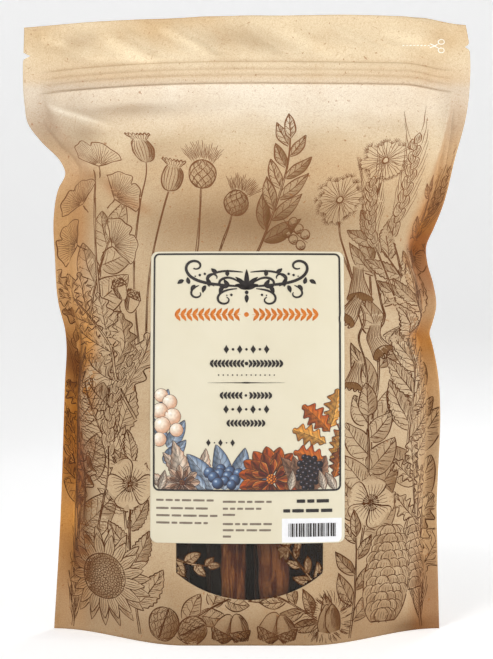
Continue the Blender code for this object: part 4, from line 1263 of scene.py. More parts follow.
def front_drawing():
    """The plants on the front ply, from those at the back to those in front."""
    plants = Drawing(5, nib=1.38)
    # The left side: ginkgo and pods above, ears of grain and oak below them, and a sunflower at the foot.
    sprig(plants, (-98, 40), 86 * DEGREE, 96, 0.10, "broad", 3, 34, 0.60, 1.4)
    sprig(plants, (-68, 96), 98 * DEGREE, 88, 0.25, "toothed", 3, 31, 0.50, 1.2)
    sprig(plants, (-104, 146), 74 * DEGREE, 72, -0.15, "broad", 3, 34, 0.60, 1.3)
    fern(plants, (-66, 60), 100 * DEGREE, 92, 0.30, 14, 17)
    pod(plants, (-58, 262), 7, (-66, 150))
    pod(plants, (-44, 246), 7.5, (-62, 152))
    stem(plants, (-88, 168), 88 * DEGREE, 84, 0.15, 1.4)
    for foot, heading, radius in (((-94, 208), 158, 14), ((-84, 206), 30, 15), ((-93, 228), 132, 14),
                                  ((-82, 230), 44, 15), ((-88, 247), 84, 15)):
        fan_leaf(plants, foot, heading * DEGREE, radius)
    sprig(plants, (-60, 118), 118 * DEGREE, 82, 0.25, "oak", 4, 36, 0.55, 1.6)
    acorn(plants, (-66, 186), 250 * DEGREE, 13)
    acorn(plants, (-76, 192), 285 * DEGREE, 12)
    sprig(plants, (-104, 60), 92 * DEGREE, 66, -0.1, "oak", 3, 30, 0.58, 1.3)
    sprig(plants, (-60, 4), 97 * DEGREE, 92, -0.15, "toothed", 4, 27, 0.5, 1.2)
    for foot, heading, length, bend in (((-92, 62), 96, 100, 0.15), ((-82, 60), 86, 92, -0.2),
                                        ((-98, 58), 104, 84, 0.2)):
        grain_ear(plants, foot, heading * DEGREE, length, bend)
    rose(plants, (-66, 84), 13, 0.9)
    needles(plants, (-104, 2), 84 * DEGREE, 50, 0.1, 32, 16)
    sunflower(plants, (-80, 33), 28)

    # Above the label: thistles, a leafy branch with berries, and seed clocks.
    thistle(plants, (-26, 248), 8, (-30, 196))
    thistle(plants, (-6, 232), 7, (-20, 196))
    sprig(plants, (4, 202), 60 * DEGREE, 68, 0.55, "lance", 5, 24, 0.36, 1.0)
    berries(plants, (20, 224), -50 * DEGREE, 20, 6, 2.6)
    seed_head(plants, (50, 234), 13, (58, 180))
    seed_head(plants, (68, 256), 12, (66, 180))

    # The right side: grain above, a leafy stem with hanging bells, and cones at the foot.
    sprig(plants, (64, 96), 78 * DEGREE, 104, 0.30, "lance", 3, 37, 0.40, 1.4)
    sprig(plants, (100, 54), 96 * DEGREE, 96, -0.10, "broad", 3, 34, 0.56, 1.4)
    sprig(plants, (100, 158), 108 * DEGREE, 62, 0.25, "toothed", 3, 29, 0.46, 1.2)
    for foot, heading, length, bend in (((86, 176), 88, 92, 0.2), ((94, 172), 78, 86, -0.1),
                                        ((80, 178), 98, 66, 0.2)):
        grain_ear(plants, foot, heading * DEGREE, length, bend)
    rose(plants, (96, 186), 12, 0.5)
    sprig(plants, (110, 196), 96 * DEGREE, 44, 0.1, "lance", 2, 17, 0.40, 0.9)
    rose(plants, (105, 205), 10, 0.9)
    sprig(plants, (88, 92), 84 * DEGREE, 92, 0.12, "toothed", 5, 30, 0.45, 1.5)
    stem(plants, (64, 120), 88 * DEGREE, 84, 0.3, 1.0)
    for foot, heading, size in (((62, 198), -100, 17), ((60, 182), -130, 15), ((68, 168), -70, 17),
                                ((60, 148), -110, 14)):
        bell_flower(plants, foot, heading * DEGREE, size)
    sprig(plants, (62, 46), 80 * DEGREE, 74, 0.25, "broad", 4, 28, 0.62, 1.2)
    sprig(plants, (106, 20), 106 * DEGREE, 70, -0.2, "oak", 3, 31, 0.58, 1.5)
    rose(plants, (68, 74), 13, 0.2)
    sprig(plants, (58, 2), 82 * DEGREE, 54, 0.2, "lance", 3, 24, 0.4, 1.1)
    needles(plants, (104, 2), 96 * DEGREE, 56, -0.1, 32, 16)
    cone(plants, (98, 24), 94 * DEGREE, 40, 21, 9)
    cone(plants, (78, 8), 86 * DEGREE, 54, 28, 11)

    # The foot, under the window.
    sprig(plants, (-46, 2), 40 * DEGREE, 52, -0.35, "broad", 3, 20, 0.6, 1.0)
    sprig(plants, (52, 4), 140 * DEGREE, 50, 0.35, "lance", 4, 20, 0.4, 1.0)
    for x, heading, length in ((-16, 62, 16), (-3, 98, 15), (10, 66, 17), (24, 108, 15)):
        acorn(plants, (x, 2), heading * DEGREE, length)
    walnut(plants, (-46, 11), 9, 1.2)
    walnut(plants, (-30, 8), 8, 0.4)
    husk(plants, (46, 14), 12)
    return plants


def back_drawing():
    """The plants on the back ply: larger sprigs and fronds that meet in its middle."""
    plants = Drawing(9, nib=1.3)
    fern(plants, (-20, 4), 108 * DEGREE, 190, 0.28, 24, 34)
    fern(plants, (30, 2), 78 * DEGREE, 170, -0.35, 22, 30)
    seed_head(plants, (-30, 246), 15, (-10, 150))
    seed_head(plants, (2, 262), 12, (-8, 150))
    seed_head(plants, (30, 238), 14, (0, 150))
    sprig(plants, (-112, 60), 70 * DEGREE, 120, 0.5, "oak", 5, 40, 0.55, 1.8)
    sprig(plants, (112, 50), 112 * DEGREE, 130, -0.4, "toothed", 6, 38, 0.45, 1.6)
    grain_ear(plants, (-84, 190), 96 * DEGREE, 74, 0.3)
    grain_ear(plants, (-74, 186), 80 * DEGREE, 70, -0.3)
    thistle(plants, (84, 246), 10, (88, 160))
    thistle(plants, (62, 226), 8, (84, 150))
    for foot, heading, radius in (((-66, 120), 100, 20), ((-50, 128), 60, 19), ((-60, 146), 120, 16)):
        fan_leaf(plants, foot, heading * DEGREE, radius)
    pod(plants, (56, 150), 10, (44, 60))
    pod(plants, (72, 128), 9, (50, 50))
    rose(plants, (0, 120), 19, 0.4)
    rose(plants, (-34, 92), 15, 1.0)
    rose(plants, (34, 92), 15, 0.1)
    cone(plants, (-96, 4), 80 * DEGREE, 60, 36, 10)
    cone(plants, (92, 4), 104 * DEGREE, 54, 32, 10)
    sprig(plants, (-60, 2), 66 * DEGREE, 78, -0.3, "lance", 6, 28, 0.36, 1.2)
    sprig(plants, (60, 2), 118 * DEGREE, 74, 0.3, "broad", 4, 30, 0.6, 1.3)
    for x, heading, length in ((-24, 60, 18), (-6, 100, 17), (12, 75, 18)):
        acorn(plants, (x, 3), heading * DEGREE, length)
    return plants


def ink_material():
    """Brown ink, a little uneven where it has soaked in, and paler higher up."""
    finish = Finish("ink", 0.7, 0.08)
    strong = finish.mix(finish.ranged(finish.noise(120.0), 0.3, 0.7), (72, 42, 22), (96, 60, 36), "MIX")
    faded = finish.ranged(finish.height(), 0.16, 0.26, 0, 0.55)
    finish.shade("Base Color", finish.mix(faded, strong, (150, 104, 70), "MIX"))
    return finish.made


INK = ink_material()


def laid_lines(name, drawing, lay, keep, finish, turned=False):
    """Ribbons of every line: at each point the line's two edges lie half its width to either side of it. Quads
    are kept where both ends can be seen and lie where keep allows. lay takes the flat onto the pouch."""
    points, faces, total = [], [], 0
    for (_, line, half), clear in zip(drawing.lines, drawing.visible(drawing.lines)):
        along = np.gradient(line, axis=1)
        side = np.stack([-along[..., 1], along[..., 0]], axis=-1)
        side = side / np.maximum(np.linalg.norm(side, axis=-1, keepdims=True), 1e-9) * half[..., None]
        edges = np.stack([line - side, line + side], axis=2)
        clear = clear & keep(line)
        count, steps = line.shape[:2]
        index = total + np.arange(count * steps * 2).reshape(count, steps, 2)
        quads = np.stack([index[:, :-1, 0], index[:, 1:, 0], index[:, 1:, 1], index[:, :-1, 1]], axis=-1)
        faces.append(quads[clear[:, :-1] & clear[:, 1:]])
        points.append(edges.reshape(-1, 2))
        total += count * steps * 2
    used, faces = np.unique(np.concatenate(faces), return_inverse=True)
    faces = faces.reshape(-1, 4)
    flat = np.concatenate(points)[used]
    return make_piece(name, lay(flat), (faces[:, ::-1] if turned else faces).tolist(), finish)


def laid_patches(name, drawing, lay, keep, finish):
    """Every patch as a grid, later ones a hair higher: lay takes the flat and the patch's share of the way from
    first to last. Quads hidden by later shapes or outside keep are left out. Returns the piece and its values."""
    flats, faces, values, shares, total = [], [], [], [], 0
    for (rank, flat, value), clear in zip(drawing.patches, drawing.visible(drawing.patches)):
        quads = grid_faces(*flat.shape[:2])
        shown, within = clear.ravel()[quads].any(1), keep(flat).ravel()[quads].all(1)
        corner = flat.reshape(-1, 2)[quads]
        along, up = corner[:, 1] - corner[:, 0], corner[:, 2] - corner[:, 0]
        if (along[:, 0] * up[:, 1] - along[:, 1] * up[:, 0]).sum() < 0:
            quads = quads[:, ::-1]
        faces.append(quads[shown & within] + total)
        flats.append(flat.reshape(-1, 2))
        shares.append(np.full(flat[..., 0].size, rank / len(drawing.covers)))
        values.append(value.reshape(flat[..., 0].size, -1))
        total += flat[..., 0].size
    used, faces = np.unique(np.concatenate(faces), return_inverse=True)
    points = lay(np.concatenate(flats)[used], np.concatenate(shares)[used])
    piece = make_piece(name, points, faces.reshape(-1, 4).tolist(), finish)
    return piece, np.concatenate(values)[used]


PRINT_REACH, PRINT_LOW, PRINT_HIGH = 114.6, 0.8, 292
UNDER_LABEL_REACH, UNDER_LABEL_LOW, UNDER_LABEL_HIGH = 48, 56, 203
PRINTED_WINDOW = window_outline() * [FLAT_RIDGE / USUAL_RIDGE, 1]


def within(flat, reach, low, high):
    """Whether places lie in a rectangle about the middle."""
    return (abs(flat[..., 0]) < reach) & (flat[..., 1] > low) & (flat[..., 1] < high)


def on_back_ply(flat):
    """Where a ply takes ink: within its edges and below the zip."""
    return within(flat, PRINT_REACH, PRINT_LOW, PRINT_HIGH)


def on_front_ply(flat):
    """The same, but neither under the label nor over the opening."""
    under_label = within(flat, UNDER_LABEL_REACH, UNDER_LABEL_LOW, UNDER_LABEL_HIGH)
    return on_back_ply(flat) & ~under_label & ~inside(flat, PRINTED_WINDOW)


def everywhere(flat):
    return np.full(flat.shape[:-1], True)


def printed_ply(name, facing, drawing, keep):
    """The tints of a drawing in the kraft's own colours, washed darker, and its lines in ink over them."""
    laid_lines(f"{name}_lines", drawing, lambda flat: on_ply(facing, flat, INK_LIFT),
               keep, INK, facing > 0)
    piece, tint = laid_patches(f"{name}_tints", drawing,
                               lambda flat, share: on_ply(facing, flat, TINT_LIFT * (0.3 + 0.7 * share)),
                               keep, KRAFT)
    if facing > 0:
        piece.data.flip_normals()
    x, _, height = np.array([vertex.co for vertex in piece.data.vertices]).T / MM
    across = x / by_side(x, LEFT_EDGE, RIGHT_EDGE, height)
    # The tints take the ground's warmth and wash, painted shade and highlights included, so that they match the
    # kraft around them.
    set_values(piece, "warmth", side_warmth(across, height))
    set_values(piece, "wash", np.clip(ground_wash(facing, x, height) + tint[:, 0], 0, 1))


printed_ply("front_print", -1, front_drawing(), on_front_ply)
printed_ply("back_print", 1, back_drawing(), on_back_ply)


# A few leaves are printed on the window's film too, in the kraft's own colour, and reach in from its edges.
FILM_PRINT_LIFT = -0.38


def window_drawing():
    """Leaves over the film: two branches that reach in from the right, and a shorter one at the left."""
    plants = Drawing(13, nib=1.2, grounded=True)
    sprig(plants, (44, 27), 140 * DEGREE, 32, -0.3, "lance", 3, 13, 0.42, 1.0)
    sprig(plants, (-42, 47), -28 * DEGREE, 22, 0.5, "broad", 2, 11, 0.56, 1.0)
    sprig(plants, (34, 60), -150 * DEGREE, 16, 0.3, "lance", 2, 10, 0.4, 0.9)
    return plants


def on_window(flat):
    """Over the opening, as far up as the label leaves it free."""
    return inside(flat, PRINTED_WINDOW) & (flat[..., 1] < 58)


film_drawing = window_drawing()
piece, tint = laid_patches("window_leaves", film_drawing,
                           lambda flat, share: on_ply(-1, flat, FILM_PRINT_LIFT + 0.02 * share),
                           on_window, KRAFT)
set_values(piece, "warmth", np.zeros(len(tint)))
set_values(piece, "wash", 0.15 + tint[:, 0])
laid_lines("window_leaf_lines", film_drawing, lambda flat: on_ply(-1, flat, FILM_PRINT_LIFT + 0.04),
           on_window, INK)

# The tear line by the right notch: a white row of dashes that ends in a pair of scissors.
TEAR_HEIGHT = 321.0
tear = Drawing(2, waver=0.02)
for x in np.arange(85.5, 100.5, 2.0):
    tear.draw([(x, TEAR_HEIGHT), (x + 1.2, TEAR_HEIGHT)], 0.45, 0.2)
for side in (-1, 1):
    blades = [(100.8, TEAR_HEIGHT + side * 1.1), (103.6, TEAR_HEIGHT), (106.0, TEAR_HEIGHT - side * 1.4)]
    tear.draw(blades, 0.50, 0.3)
    tear.draw([107.3, TEAR_HEIGHT + side * 2.3] + [1.7, 1.3] * circle(17), 0.42, 0)


def on_header(flat):
    """Places by their distance from the middle and their true height: the header's sag and trim are taken off."""
    across = AT_RIDGE * flat[..., 0] / ridge_at(flat[..., 0], flat[..., 1])
    height = flat[..., 1]
    for _ in range(3):
        height = height + flat[..., 1] - ply_points(-1, across, height)[..., 2]
    return on_outer_face(-1, across, height, INK_LIFT)


# Opaque white ink, slightly worn so that the kraft shows through.
WHITE_PRINT = clouded("white_print", 0.5, 900.0, 0.5, 0.75, (244, 240, 230), (222, 208, 182))
laid_lines("tear_line", tear, on_header, everywhere, WHITE_PRINT)


# ---------------------------------------------------------------------------------------------------------------
# The label: coated paper, 102 x 152 mm, stuck on by hand over the upper part of the window, with a small pucker at
# its left edge. It is printed with a black frame, small ornaments, a painted border of autumn leaves, and bars.

LABEL_WIDTH, LABEL_HEIGHT, LABEL_CORNER, LABEL_THICK = 101.6, 152.4, 3.5, 0.12
LABEL_MIDDLE, LABEL_BOTTOM, LABEL_GAP = 0.5, 53.6, 0.18
CREAM, CREAM_SHADE = (214, 206, 183), (209, 200, 174)
PUCKERS = [(-52, 66.5, 7.0, 1.5, 0.55), (-52, 62.5, 6.0, 1.3, 0.35), (50, 118, 5.0, 5.0, 0.2)]


def on_label(flat, lift):
    """Places on the label, from its middle and its bottom edge, lifted off its face. The paper follows the front
    ply, and bell-shaped puckers raise it here and there at its edges."""
    u, v = flat[..., 0], flat[..., 1]
    height = LABEL_BOTTOM + v
    across = AT_RIDGE * (u + LABEL_MIDDLE) / ridge_at(u + LABEL_MIDDLE, height)
    pucker = sum(rise * np.exp(-(((u - at_u) / wide) ** 2) - ((v - at_v) / tall) ** 2)
                 for at_u, at_v, wide, tall, rise in PUCKERS)
    lifted = PLY + LABEL_GAP + pucker + lift
    return ply_points(-1, across, height) + lifted[..., None] * outward(-1, across, height)


def rounded_half_width(v, half, height, corner):
    """Half the width of a rectangle with rounded corners, at each height: a quarter circle eats into each end."""
    into = np.clip(corner - np.minimum(v, height - v), 0, corner)
    return half - (corner - np.sqrt(corner**2 - into**2))


def label_paper():
    """Cream coated paper: a faint sheen, fine tooth, and a slight yellowing in clouds."""
    finish = Finish("label_paper", 0.42, 0.45)
    cloud = finish.noise(30.0, 3.0)
    finish.shade("Base Color", finish.mix(finish.ranged(cloud, 0.3, 0.7), CREAM, CREAM_SHADE, "MIX"))
    finish.shade("Roughness", finish.ranged(cloud, 0.3, 0.7, 0.38, 0.46))
    finish.shade("Normal", finish.bump(finish.noise(1400.0), 0.08, 0.0002))
    return finish.made


# Rows crowd at both ends, where the corners are round.
ends = LABEL_CORNER * (1 - np.cos(np.linspace(0, math.pi / 2, 9)))
label_rows = np.concatenate([ends[:-1], np.linspace(LABEL_CORNER, LABEL_HEIGHT - LABEL_CORNER, 150),
                             LABEL_HEIGHT - ends[-2::-1]])
share, row = np.meshgrid(np.linspace(-1, 1, 105), label_rows)
label_half = rounded_half_width(row, LABEL_WIDTH / 2, LABEL_HEIGHT, LABEL_CORNER)
paper = make_piece("paper_label", on_label(np.stack([share * label_half, row], axis=-1), -LABEL_THICK),
                   grid_faces(*row.shape).tolist(), label_paper())
thicken(paper, LABEL_THICK)
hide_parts("label")


def plain_ink(name, dark, light):
    """An offset ink in one colour, barely uneven."""
    return clouded(name, 0.45, 500.0, 0.3, 0.7, dark, light)


BLACK_INK = plain_ink("black_ink", (30, 24, 22), (44, 36, 32))
ORANGE_INK = plain_ink("orange_ink", (196, 104, 20), (208, 118, 34))
FRAME_LEFT, FRAME_RIGHT, FRAME_LOW, FRAME_HIGH, FRAME_CORNER = -48.9, 48.4, 27.6, 151.0, 2.6


def rounded_frame(left, right, low, high, corner, steps=9):
    """A rectangle with round corners, as one closed line: four quarter circles joined by straight runs."""
    turn = np.linspace(0, math.pi / 2, steps)
    corners = [(right - corner, low + corner, -math.pi / 2), (right - corner, high - corner, 0),
               (left + corner, high - corner, math.pi / 2), (left + corner, low + corner, math.pi)]
    line = np.concatenate([[[x + corner * math.cos(a), y + corner * math.sin(a)] for a in first + turn]
                           for x, y, first in corners])
    line = np.concatenate([line, line[:1]])
    reach = np.concatenate([[0], np.cumsum(np.linalg.norm(np.diff(line, axis=0), axis=1))])
    at = np.unique(np.concatenate([reach, np.linspace(0, reach[-1], 240)]))
    return np.stack([np.interp(at, reach, line[:, 0]), np.interp(at, reach, line[:, 1])], axis=-1)


def curl(start, heading, length, turn, power):
    """A scroll: its heading turns by turn times t^power, so it winds tighter towards its end."""
    t = np.linspace(0, 1, 44)
    angle = heading + turn * t**power
    step = length / 43
    walked = np.cumsum(unit(angle) * step, axis=0)
    return np.array(start) + walked - walked[0]


def teardrop(drawing, start, heading, length, width, bend=0.4):
    """A solid leaf: lines side by side along a blade, wide enough to meet."""
    place = blade(start, heading, length, bend, hump(width / 2, 0.0, 0.8))
    streaks(drawing, place, (0, 1, 12), np.linspace(-1, 1, max(3, int(width / 0.28))), 0.42, 0.55)


def disc(drawing, x, y, radius):
    """A solid round: rings side by side."""
    for ring in np.arange(0.18, radius, 0.30):
        drawing.draw([x, y] + ring * circle(15), 0.40, 0)


def laurel(drawing, middle, level, half, size, gap):
    """Pairs of small leaves that run in from both ends to a round berry in the middle."""
    disc(drawing, middle, level, 0.30 * size)
    for side in (-1, 1):
        heading = math.pi if side > 0 else 0.0
        drawing.draw([(middle + side * half, level), (middle + side * size * 0.7, level)], 0.22, 0.3)
        for x in np.arange(half, 0.8 * size, -gap):
            for up in (-1, 1):
                teardrop(drawing, (middle + side * x, level), heading + up * 0.62, size, 0.34 * size, up * 0.5)


def lozenges(drawing, middle, level, half, size):
    """A row of solid diamonds with small rounds between them."""
    places = np.linspace(-half + size * 0.35, half - size * 0.35, max(2, round(2 * half / (1.55 * size))))
    for x in places:
        rows = np.linspace(-1, 1, max(5, int(size / 0.26)))[:, None]
        reach = 0.34 * size * (1 - abs(rows))
        line = np.stack([middle + x + reach * np.linspace(-1, 1, 4)[None], level + 0.5 * size * rows + 0 * reach
                         + np.zeros((1, 4))], axis=-1)
        drawing.draw(line, 0.36, 0)
    for x in (places[1:] + places[:-1]) / 2:
        disc(drawing, middle + x, level, 0.13 * size)


def title_ornament(card, middle, level, squeeze):
    """A scroll of leafy curls that spread to both sides from a fan of leaves, under a low arch."""
    for side in (-1, 1):
        def turned(points):
            return points * [side, squeeze] + [middle, level]
        scrolls = [((2.5, -2.0), 0.10, 52, 6.6, 3.8, 1.6), ((5, -3.4), -0.12, 25, -5.6, 2.2, 1.2),
                   ((3.5, 0.6), 0.75, 22, -5.4, 1.9, 1.3), ((17, -1.6), 0.5, 16, 4.6, 1.7, 1.1),
                   ((25, -1.2), -0.5, 16, -4.8, 1.8, 1.1), ((2.0, 7.8), 0.12, 26, -2.4, 2.6, 1.1)]
        for start, heading, length, turn, power, width in scrolls:
            card.draw(turned(curl(start, heading, length, turn, power)), width, 0.75)
        leaves = [((9, -1.6), 0.6, 6.0, 1), ((12, -1.7), -0.7, 5.6, -1), ((19, -1.3), 1.0, 5.0, 1),
                  ((21.5, -1.3), -0.9, 5.2, -1), ((30, 0.0), 1.0, 4.6, 1), ((33, 2.2), -0.2, 4.8, -1),
                  ((10, 5.2), 1.3, 4.2, 1), ((15.5, 7.6), 0.3, 4.8, 1), ((27, -1.0), -0.7, 5.0, -1)]
        for (x, y), heading, length, bend in leaves:
            heading = heading if side > 0 else math.pi - heading
            foot = (middle + side * x, level + squeeze * y)
            teardrop(card, foot, heading, squeeze * length, 1.8, side * bend * 0.6)
        rounds = ((22, 6.6, 0.75), (24.6, 5.8, 0.6), (27, 5.0, 0.45), (8, -7.6, 0.6), (10.4, -7.9, 0.45))
        for x, y, radius in rounds:
            disc(card, middle + side * x, level + squeeze * y, radius)
    for heading, length, bend in ((90, 10.5, 0), (62, 8.8, -0.5), (118, 8.8, 0.5), (36, 6.6, -0.5),
                                  (144, 6.6, 0.5)):
        teardrop(card, (middle, level - 3.0), math.radians(heading), length, 2.3, bend)
    disc(card, middle, level - 4.6, 1.0)
    teardrop(card, (middle, level - 5.8), math.radians(-90), 4.2, 1.8, 0.0)


def words(card, left, level, width, height):
    """Bars of a few lengths in a row, for lines of small print."""
    x = left
    while x < left + width - 2:
        size = min(card.random.uniform(2.6, 7.5), left + width - x)
        card.draw([(x, level), (x + size / 2, level), (x + size, level)], height, 0.12)
        x += size + 1.1


def black_drawing():
    """The frame, the ornament of the title, smaller ones below it, a tapered rule, small print and bars."""
    card = Drawing(3, waver=0.015)
    card.draw(rounded_frame(FRAME_LEFT, FRAME_RIGHT, FRAME_LOW, FRAME_HIGH, FRAME_CORNER), 0.95, 0)
    title_ornament(card, -0.4, 135.4, 0.78)
    lozenges(card, -0.5, 101.0, 12.0, 4.2)
    laurel(card, -0.5, 93.6, 19.0, 2.6, 2.0)
    for x in np.linspace(-15, 14, 13):
        disc(card, x, 87.6, 0.42)
    for reach, thick in ((20.0, 0.3), (9.0, 0.5), (3.2, 0.8)):
        card.draw([(-0.7 - reach, 83.6), (-0.7, 83.6), (-0.7 + reach, 83.6)], thick, 0.9)
    laurel(card, -0.8, 77.0, 13.5, 2.4, 2.0)
    lozenges(card, -0.6, 69.8, 12.0, 4.2)
    laurel(card, -0.8, 62.6, 10.0, 2.4, 2.0)
    lozenges(card, -14.0, 52.4, 7.5, 3.4)
    words(card, 25.6, 22.0, 17, 1.8)
    words(card, 18.6, 17.0, 28, 1.8)
    x = 21.4
    while x < 46.0:
        thick = card.random.choice([0.3, 0.3, 0.6, 0.9])
        card.draw([(x + thick / 2, 3.4), (x + thick / 2, 7.0), (x + thick / 2, 10.4)], thick, 0)
        x += thick + card.random.choice([0.32, 0.32, 0.64])
    return card


def small_print():
    """Two columns of small print."""
    card = Drawing(12, waver=0.015)
    for level, width in ((22.4, 30), (18.2, 30), (14.4, 32), (10.6, 27)):
        words(card, -47.6, level, width, 1.15)
    for level, width in ((21.8, 27), (18.2, 20), (15.0, 7), (10.2, 26), (7.0, 25), (3.7, 6)):
        words(card, -12.8, level, width, 1.15)
    return card


laid_lines("label_black_print", black_drawing(), lambda flat: on_label(flat, 0.18), everywhere,
           BLACK_INK)
laid_lines("label_small_print", small_print(), lambda flat: on_label(flat, 0.03), everywhere,
           plain_ink("soft_ink", (112, 98, 84), (128, 114, 98)))
orange_card = Drawing(4, waver=0.015)
laurel(orange_card, -0.5, 119.2, 37.5, 4.4, 3.1)
laid_lines("label_orange_print", orange_card, lambda flat: on_label(flat, 0.03), everywhere,
           ORANGE_INK)

# The bars stand on a white patch at the label's lower right corner.
PATCH_LEFT = 17.9
share, row = np.meshgrid(np.linspace(0, 1, 30), np.linspace(0.5, 13.0, 20))
patch_right = rounded_half_width(row, LABEL_WIDTH / 2 - 1.6, LABEL_HEIGHT, LABEL_CORNER)
patch = np.stack([PATCH_LEFT + share * (patch_right - PATCH_LEFT), row], axis=-1)
make_piece("label_white_patch", on_label(patch, 0.03), grid_faces(*row.shape).tolist(),
           plain_ink("white_ink", (224, 224, 226), (230, 230, 231)))


# The painted border. Colours are as printed, from 0 to 255.
ORANGE, AMBER, RUST, MAROON = (218, 124, 34), (236, 176, 84), (176, 62, 18), (96, 28, 16)
SLATE, MIST, NIGHT = (84, 108, 142), (186, 200, 214), (36, 42, 62)
IVORY, BLUSH, UMBER = (238, 226, 206), (208, 160, 128), (118, 80, 56)
COAL, SHINE = (30, 26, 30), (150, 140, 150)


def painted_leaf(card, start, heading, length, width, kind, inner, outer, bend=0.3, veins=7):
    """A painted leaf. Its colour goes from inner to outer with share^2, dark along swept veins, and is shaded on
    one half; an inked edge and midrib are drawn over it."""
    place = blade(start, heading, length, bend, leaf_profile(kind, width))
    outlined(card, place, 0.26, 44 if LEAF_KINDS[kind][2] else 26)
    t, share = np.meshgrid(np.linspace(0, 1, 49), np.linspace(-1, 1, 15), indexing="ij")
    vein = np.clip(1 - abs((t * veins - abs(share) * 1.3) % 1 - 0.5) * 7, 0, 1) * smoothstep(1.0, 0.9, abs(share))
    depth = 1 - 0.40 * vein - 0.22 * (share > 0) - 0.15 * np.sin(9 * t + 4 * share) ** 2
    tone = np.array(inner) + (np.array(outer) - inner) * (share**2 * 0.75 + 0.25 * t)[..., None]
    card.paint(place(t, share), tone * depth[..., None])
    card.draw(place(np.linspace(0, 0.96, 12), 0.0), 0.22)


def painted_berry(card, x, y, radius, tone, dark, light):
    """A painted berry: shaded by the distance from a lit spot at its upper left, with an inked edge."""
    spot = np.linspace(0, 1, 7)[:, None] * circle(19)[:, None]
    flat = [x, y] + radius * spot
    card.cover(flat[:-1, -1])
    away = np.linalg.norm(spot + [0.35, -0.35], axis=-1)
    colours = np.array(tone) + (np.array(dark) - tone) * smoothstep(0.35, 1.35, away)[..., None]
    colours = colours + (np.array(light) - colours) * (1 - smoothstep(0.08, 0.30, away))[..., None]
    card.paint(flat, colours)
    card.draw(flat[:, -1], 0.18, 0)


def painted_flower(card, x, y, radius, rings, heart):
    """A full round bloom: rings of petals, the outermost first, each ring with its own two colours."""
    for part, (count, size, inner, outer) in enumerate(rings):
        for petal in range(count):
            heading = 2 * math.pi * (petal + 0.5 * part) / count
            foot = (x + 0.12 * radius * math.cos(heading), y + 0.12 * radius * math.sin(heading))
            painted_leaf(card, foot, heading, radius * size, radius * size * 0.42, "petal", inner, outer, 0.12, 2)
    for ring, count in ((0.13, 9), (0.05, 4)):
        for turn in np.linspace(0, 2 * math.pi, count, endpoint=False):
            painted_berry(card, *([x, y] + ring * radius * unit(turn)), 0.055 * radius, heart, MAROON, AMBER)


def berry_cluster(card, x, y, spread_x, spread_y, count, radius, tone, dark, light):
    """Berries on a sunflower spiral, squeezed into an oval, from its top down."""
    places = [x, y] + [spread_x, spread_y] * spiral(count)
    for place_x, place_y in places[np.argsort(-places[:, 1])]:
        painted_berry(card, place_x, place_y, radius * card.random.uniform(0.85, 1.1), tone, dark, light)


def autumn_border():
    """Leaves, blooms and berries along the foot of the frame: pale berries climb its left side, oak its right."""
    card = Drawing(7, waver=0.05)
    for x, y, heading, length, inner, outer in (
            (43, 60, 70, 21, AMBER, ORANGE), (43, 58, 128, 20, ORANGE, RUST), (44, 52, 40, 17, AMBER, RUST),
            (41, 52, 150, 19, AMBER, ORANGE), (42, 42, 155, 19, ORANGE, RUST), (44, 42, 62, 17, AMBER, ORANGE),
            (45, 34, 70, 16, ORANGE, MAROON)):
        painted_leaf(card, (x, y), math.radians(heading), length, length * 0.62, "oak", inner, outer)
    for x, y, heading, length in ((-43, 52, 118, 18), (-42, 50, 48, 17), (-44, 42, 36, 17), (-45, 70, 62, 11)):
        painted_leaf(card, (x, y), math.radians(heading), length, length * 0.46, "broad", MIST, SLATE)
    for x, y, radius in ((-45, 77, 3.6), (-40.5, 73.5, 3.9), (-45.5, 69, 4.1), (-39, 66, 4.3), (-44.5, 61.5, 4.4),
                         (-37, 59, 3.6), (-46, 54, 3.8)):
        painted_berry(card, x, y, radius, IVORY, BLUSH, (250, 246, 240))
    for x, y, heading, length in ((-30, 28, 118, 24), (-34, 28, 92, 26), (-26, 28, 70, 22), (-40, 28, 140, 16)):
        painted_leaf(card, (x, y), math.radians(heading), length, length * 0.40, "toothed", IVORY, BLUSH)
    for x, y, heading, length in ((-8, 28, 64, 23), (-12, 28, 92, 24), (-18, 28, 118, 23), (0, 28, 42, 20),
                                  (-22, 28, 142, 19)):
        painted_leaf(card, (x, y), math.radians(heading), length, length * 0.44, "broad", MIST, SLATE)
    berry_cluster(card, -12, 35, 9, 5.0, 11, 2.9, SLATE, NIGHT, MIST)
    painted_flower(card, 12.5, 33.5, 15.5, [(15, 1.0, RUST, ORANGE), (12, 0.80, MAROON, ORANGE),
                                            (9, 0.58, RUST, AMBER), (6, 0.38, MAROON, RUST)], ORANGE)
    for x, y, heading, length in ((30, 28, 118, 21), (34, 28, 60, 19), (27, 28, 92, 18)):
        painted_leaf(card, (x, y), math.radians(heading), length, length * 0.46, "toothed", UMBER, BLUSH)
    berry_cluster(card, 32, 37, 6.5, 9, 30, 1.75, COAL, (12, 10, 14), SHINE)
    painted_flower(card, -34, 31.5, 8.5, [(11, 1.0, BLUSH, IVORY), (8, 0.7, UMBER, BLUSH), (5, 0.42, UMBER, IVORY)],
                   UMBER)
    for x, heading in ((-46, 66), (46, 112), (40, 96), (22, 74)):
        painted_leaf(card, (x, 27.5), math.radians(heading), 11, 4.6, "lance", IVORY, UMBER)
    return card


def in_frame(flat):
    """Within the black frame: a rectangle with round corners."""
    v = flat[..., 1] - FRAME_LOW
    tall = FRAME_HIGH - FRAME_LOW
    middle = (FRAME_LEFT + FRAME_RIGHT) / 2
    half = rounded_half_width(np.clip(v, 0, tall), (FRAME_RIGHT - FRAME_LEFT) / 2, tall, FRAME_CORNER)
    return (v > 0.1) & (abs(flat[..., 0] - middle) < half - 0.1)


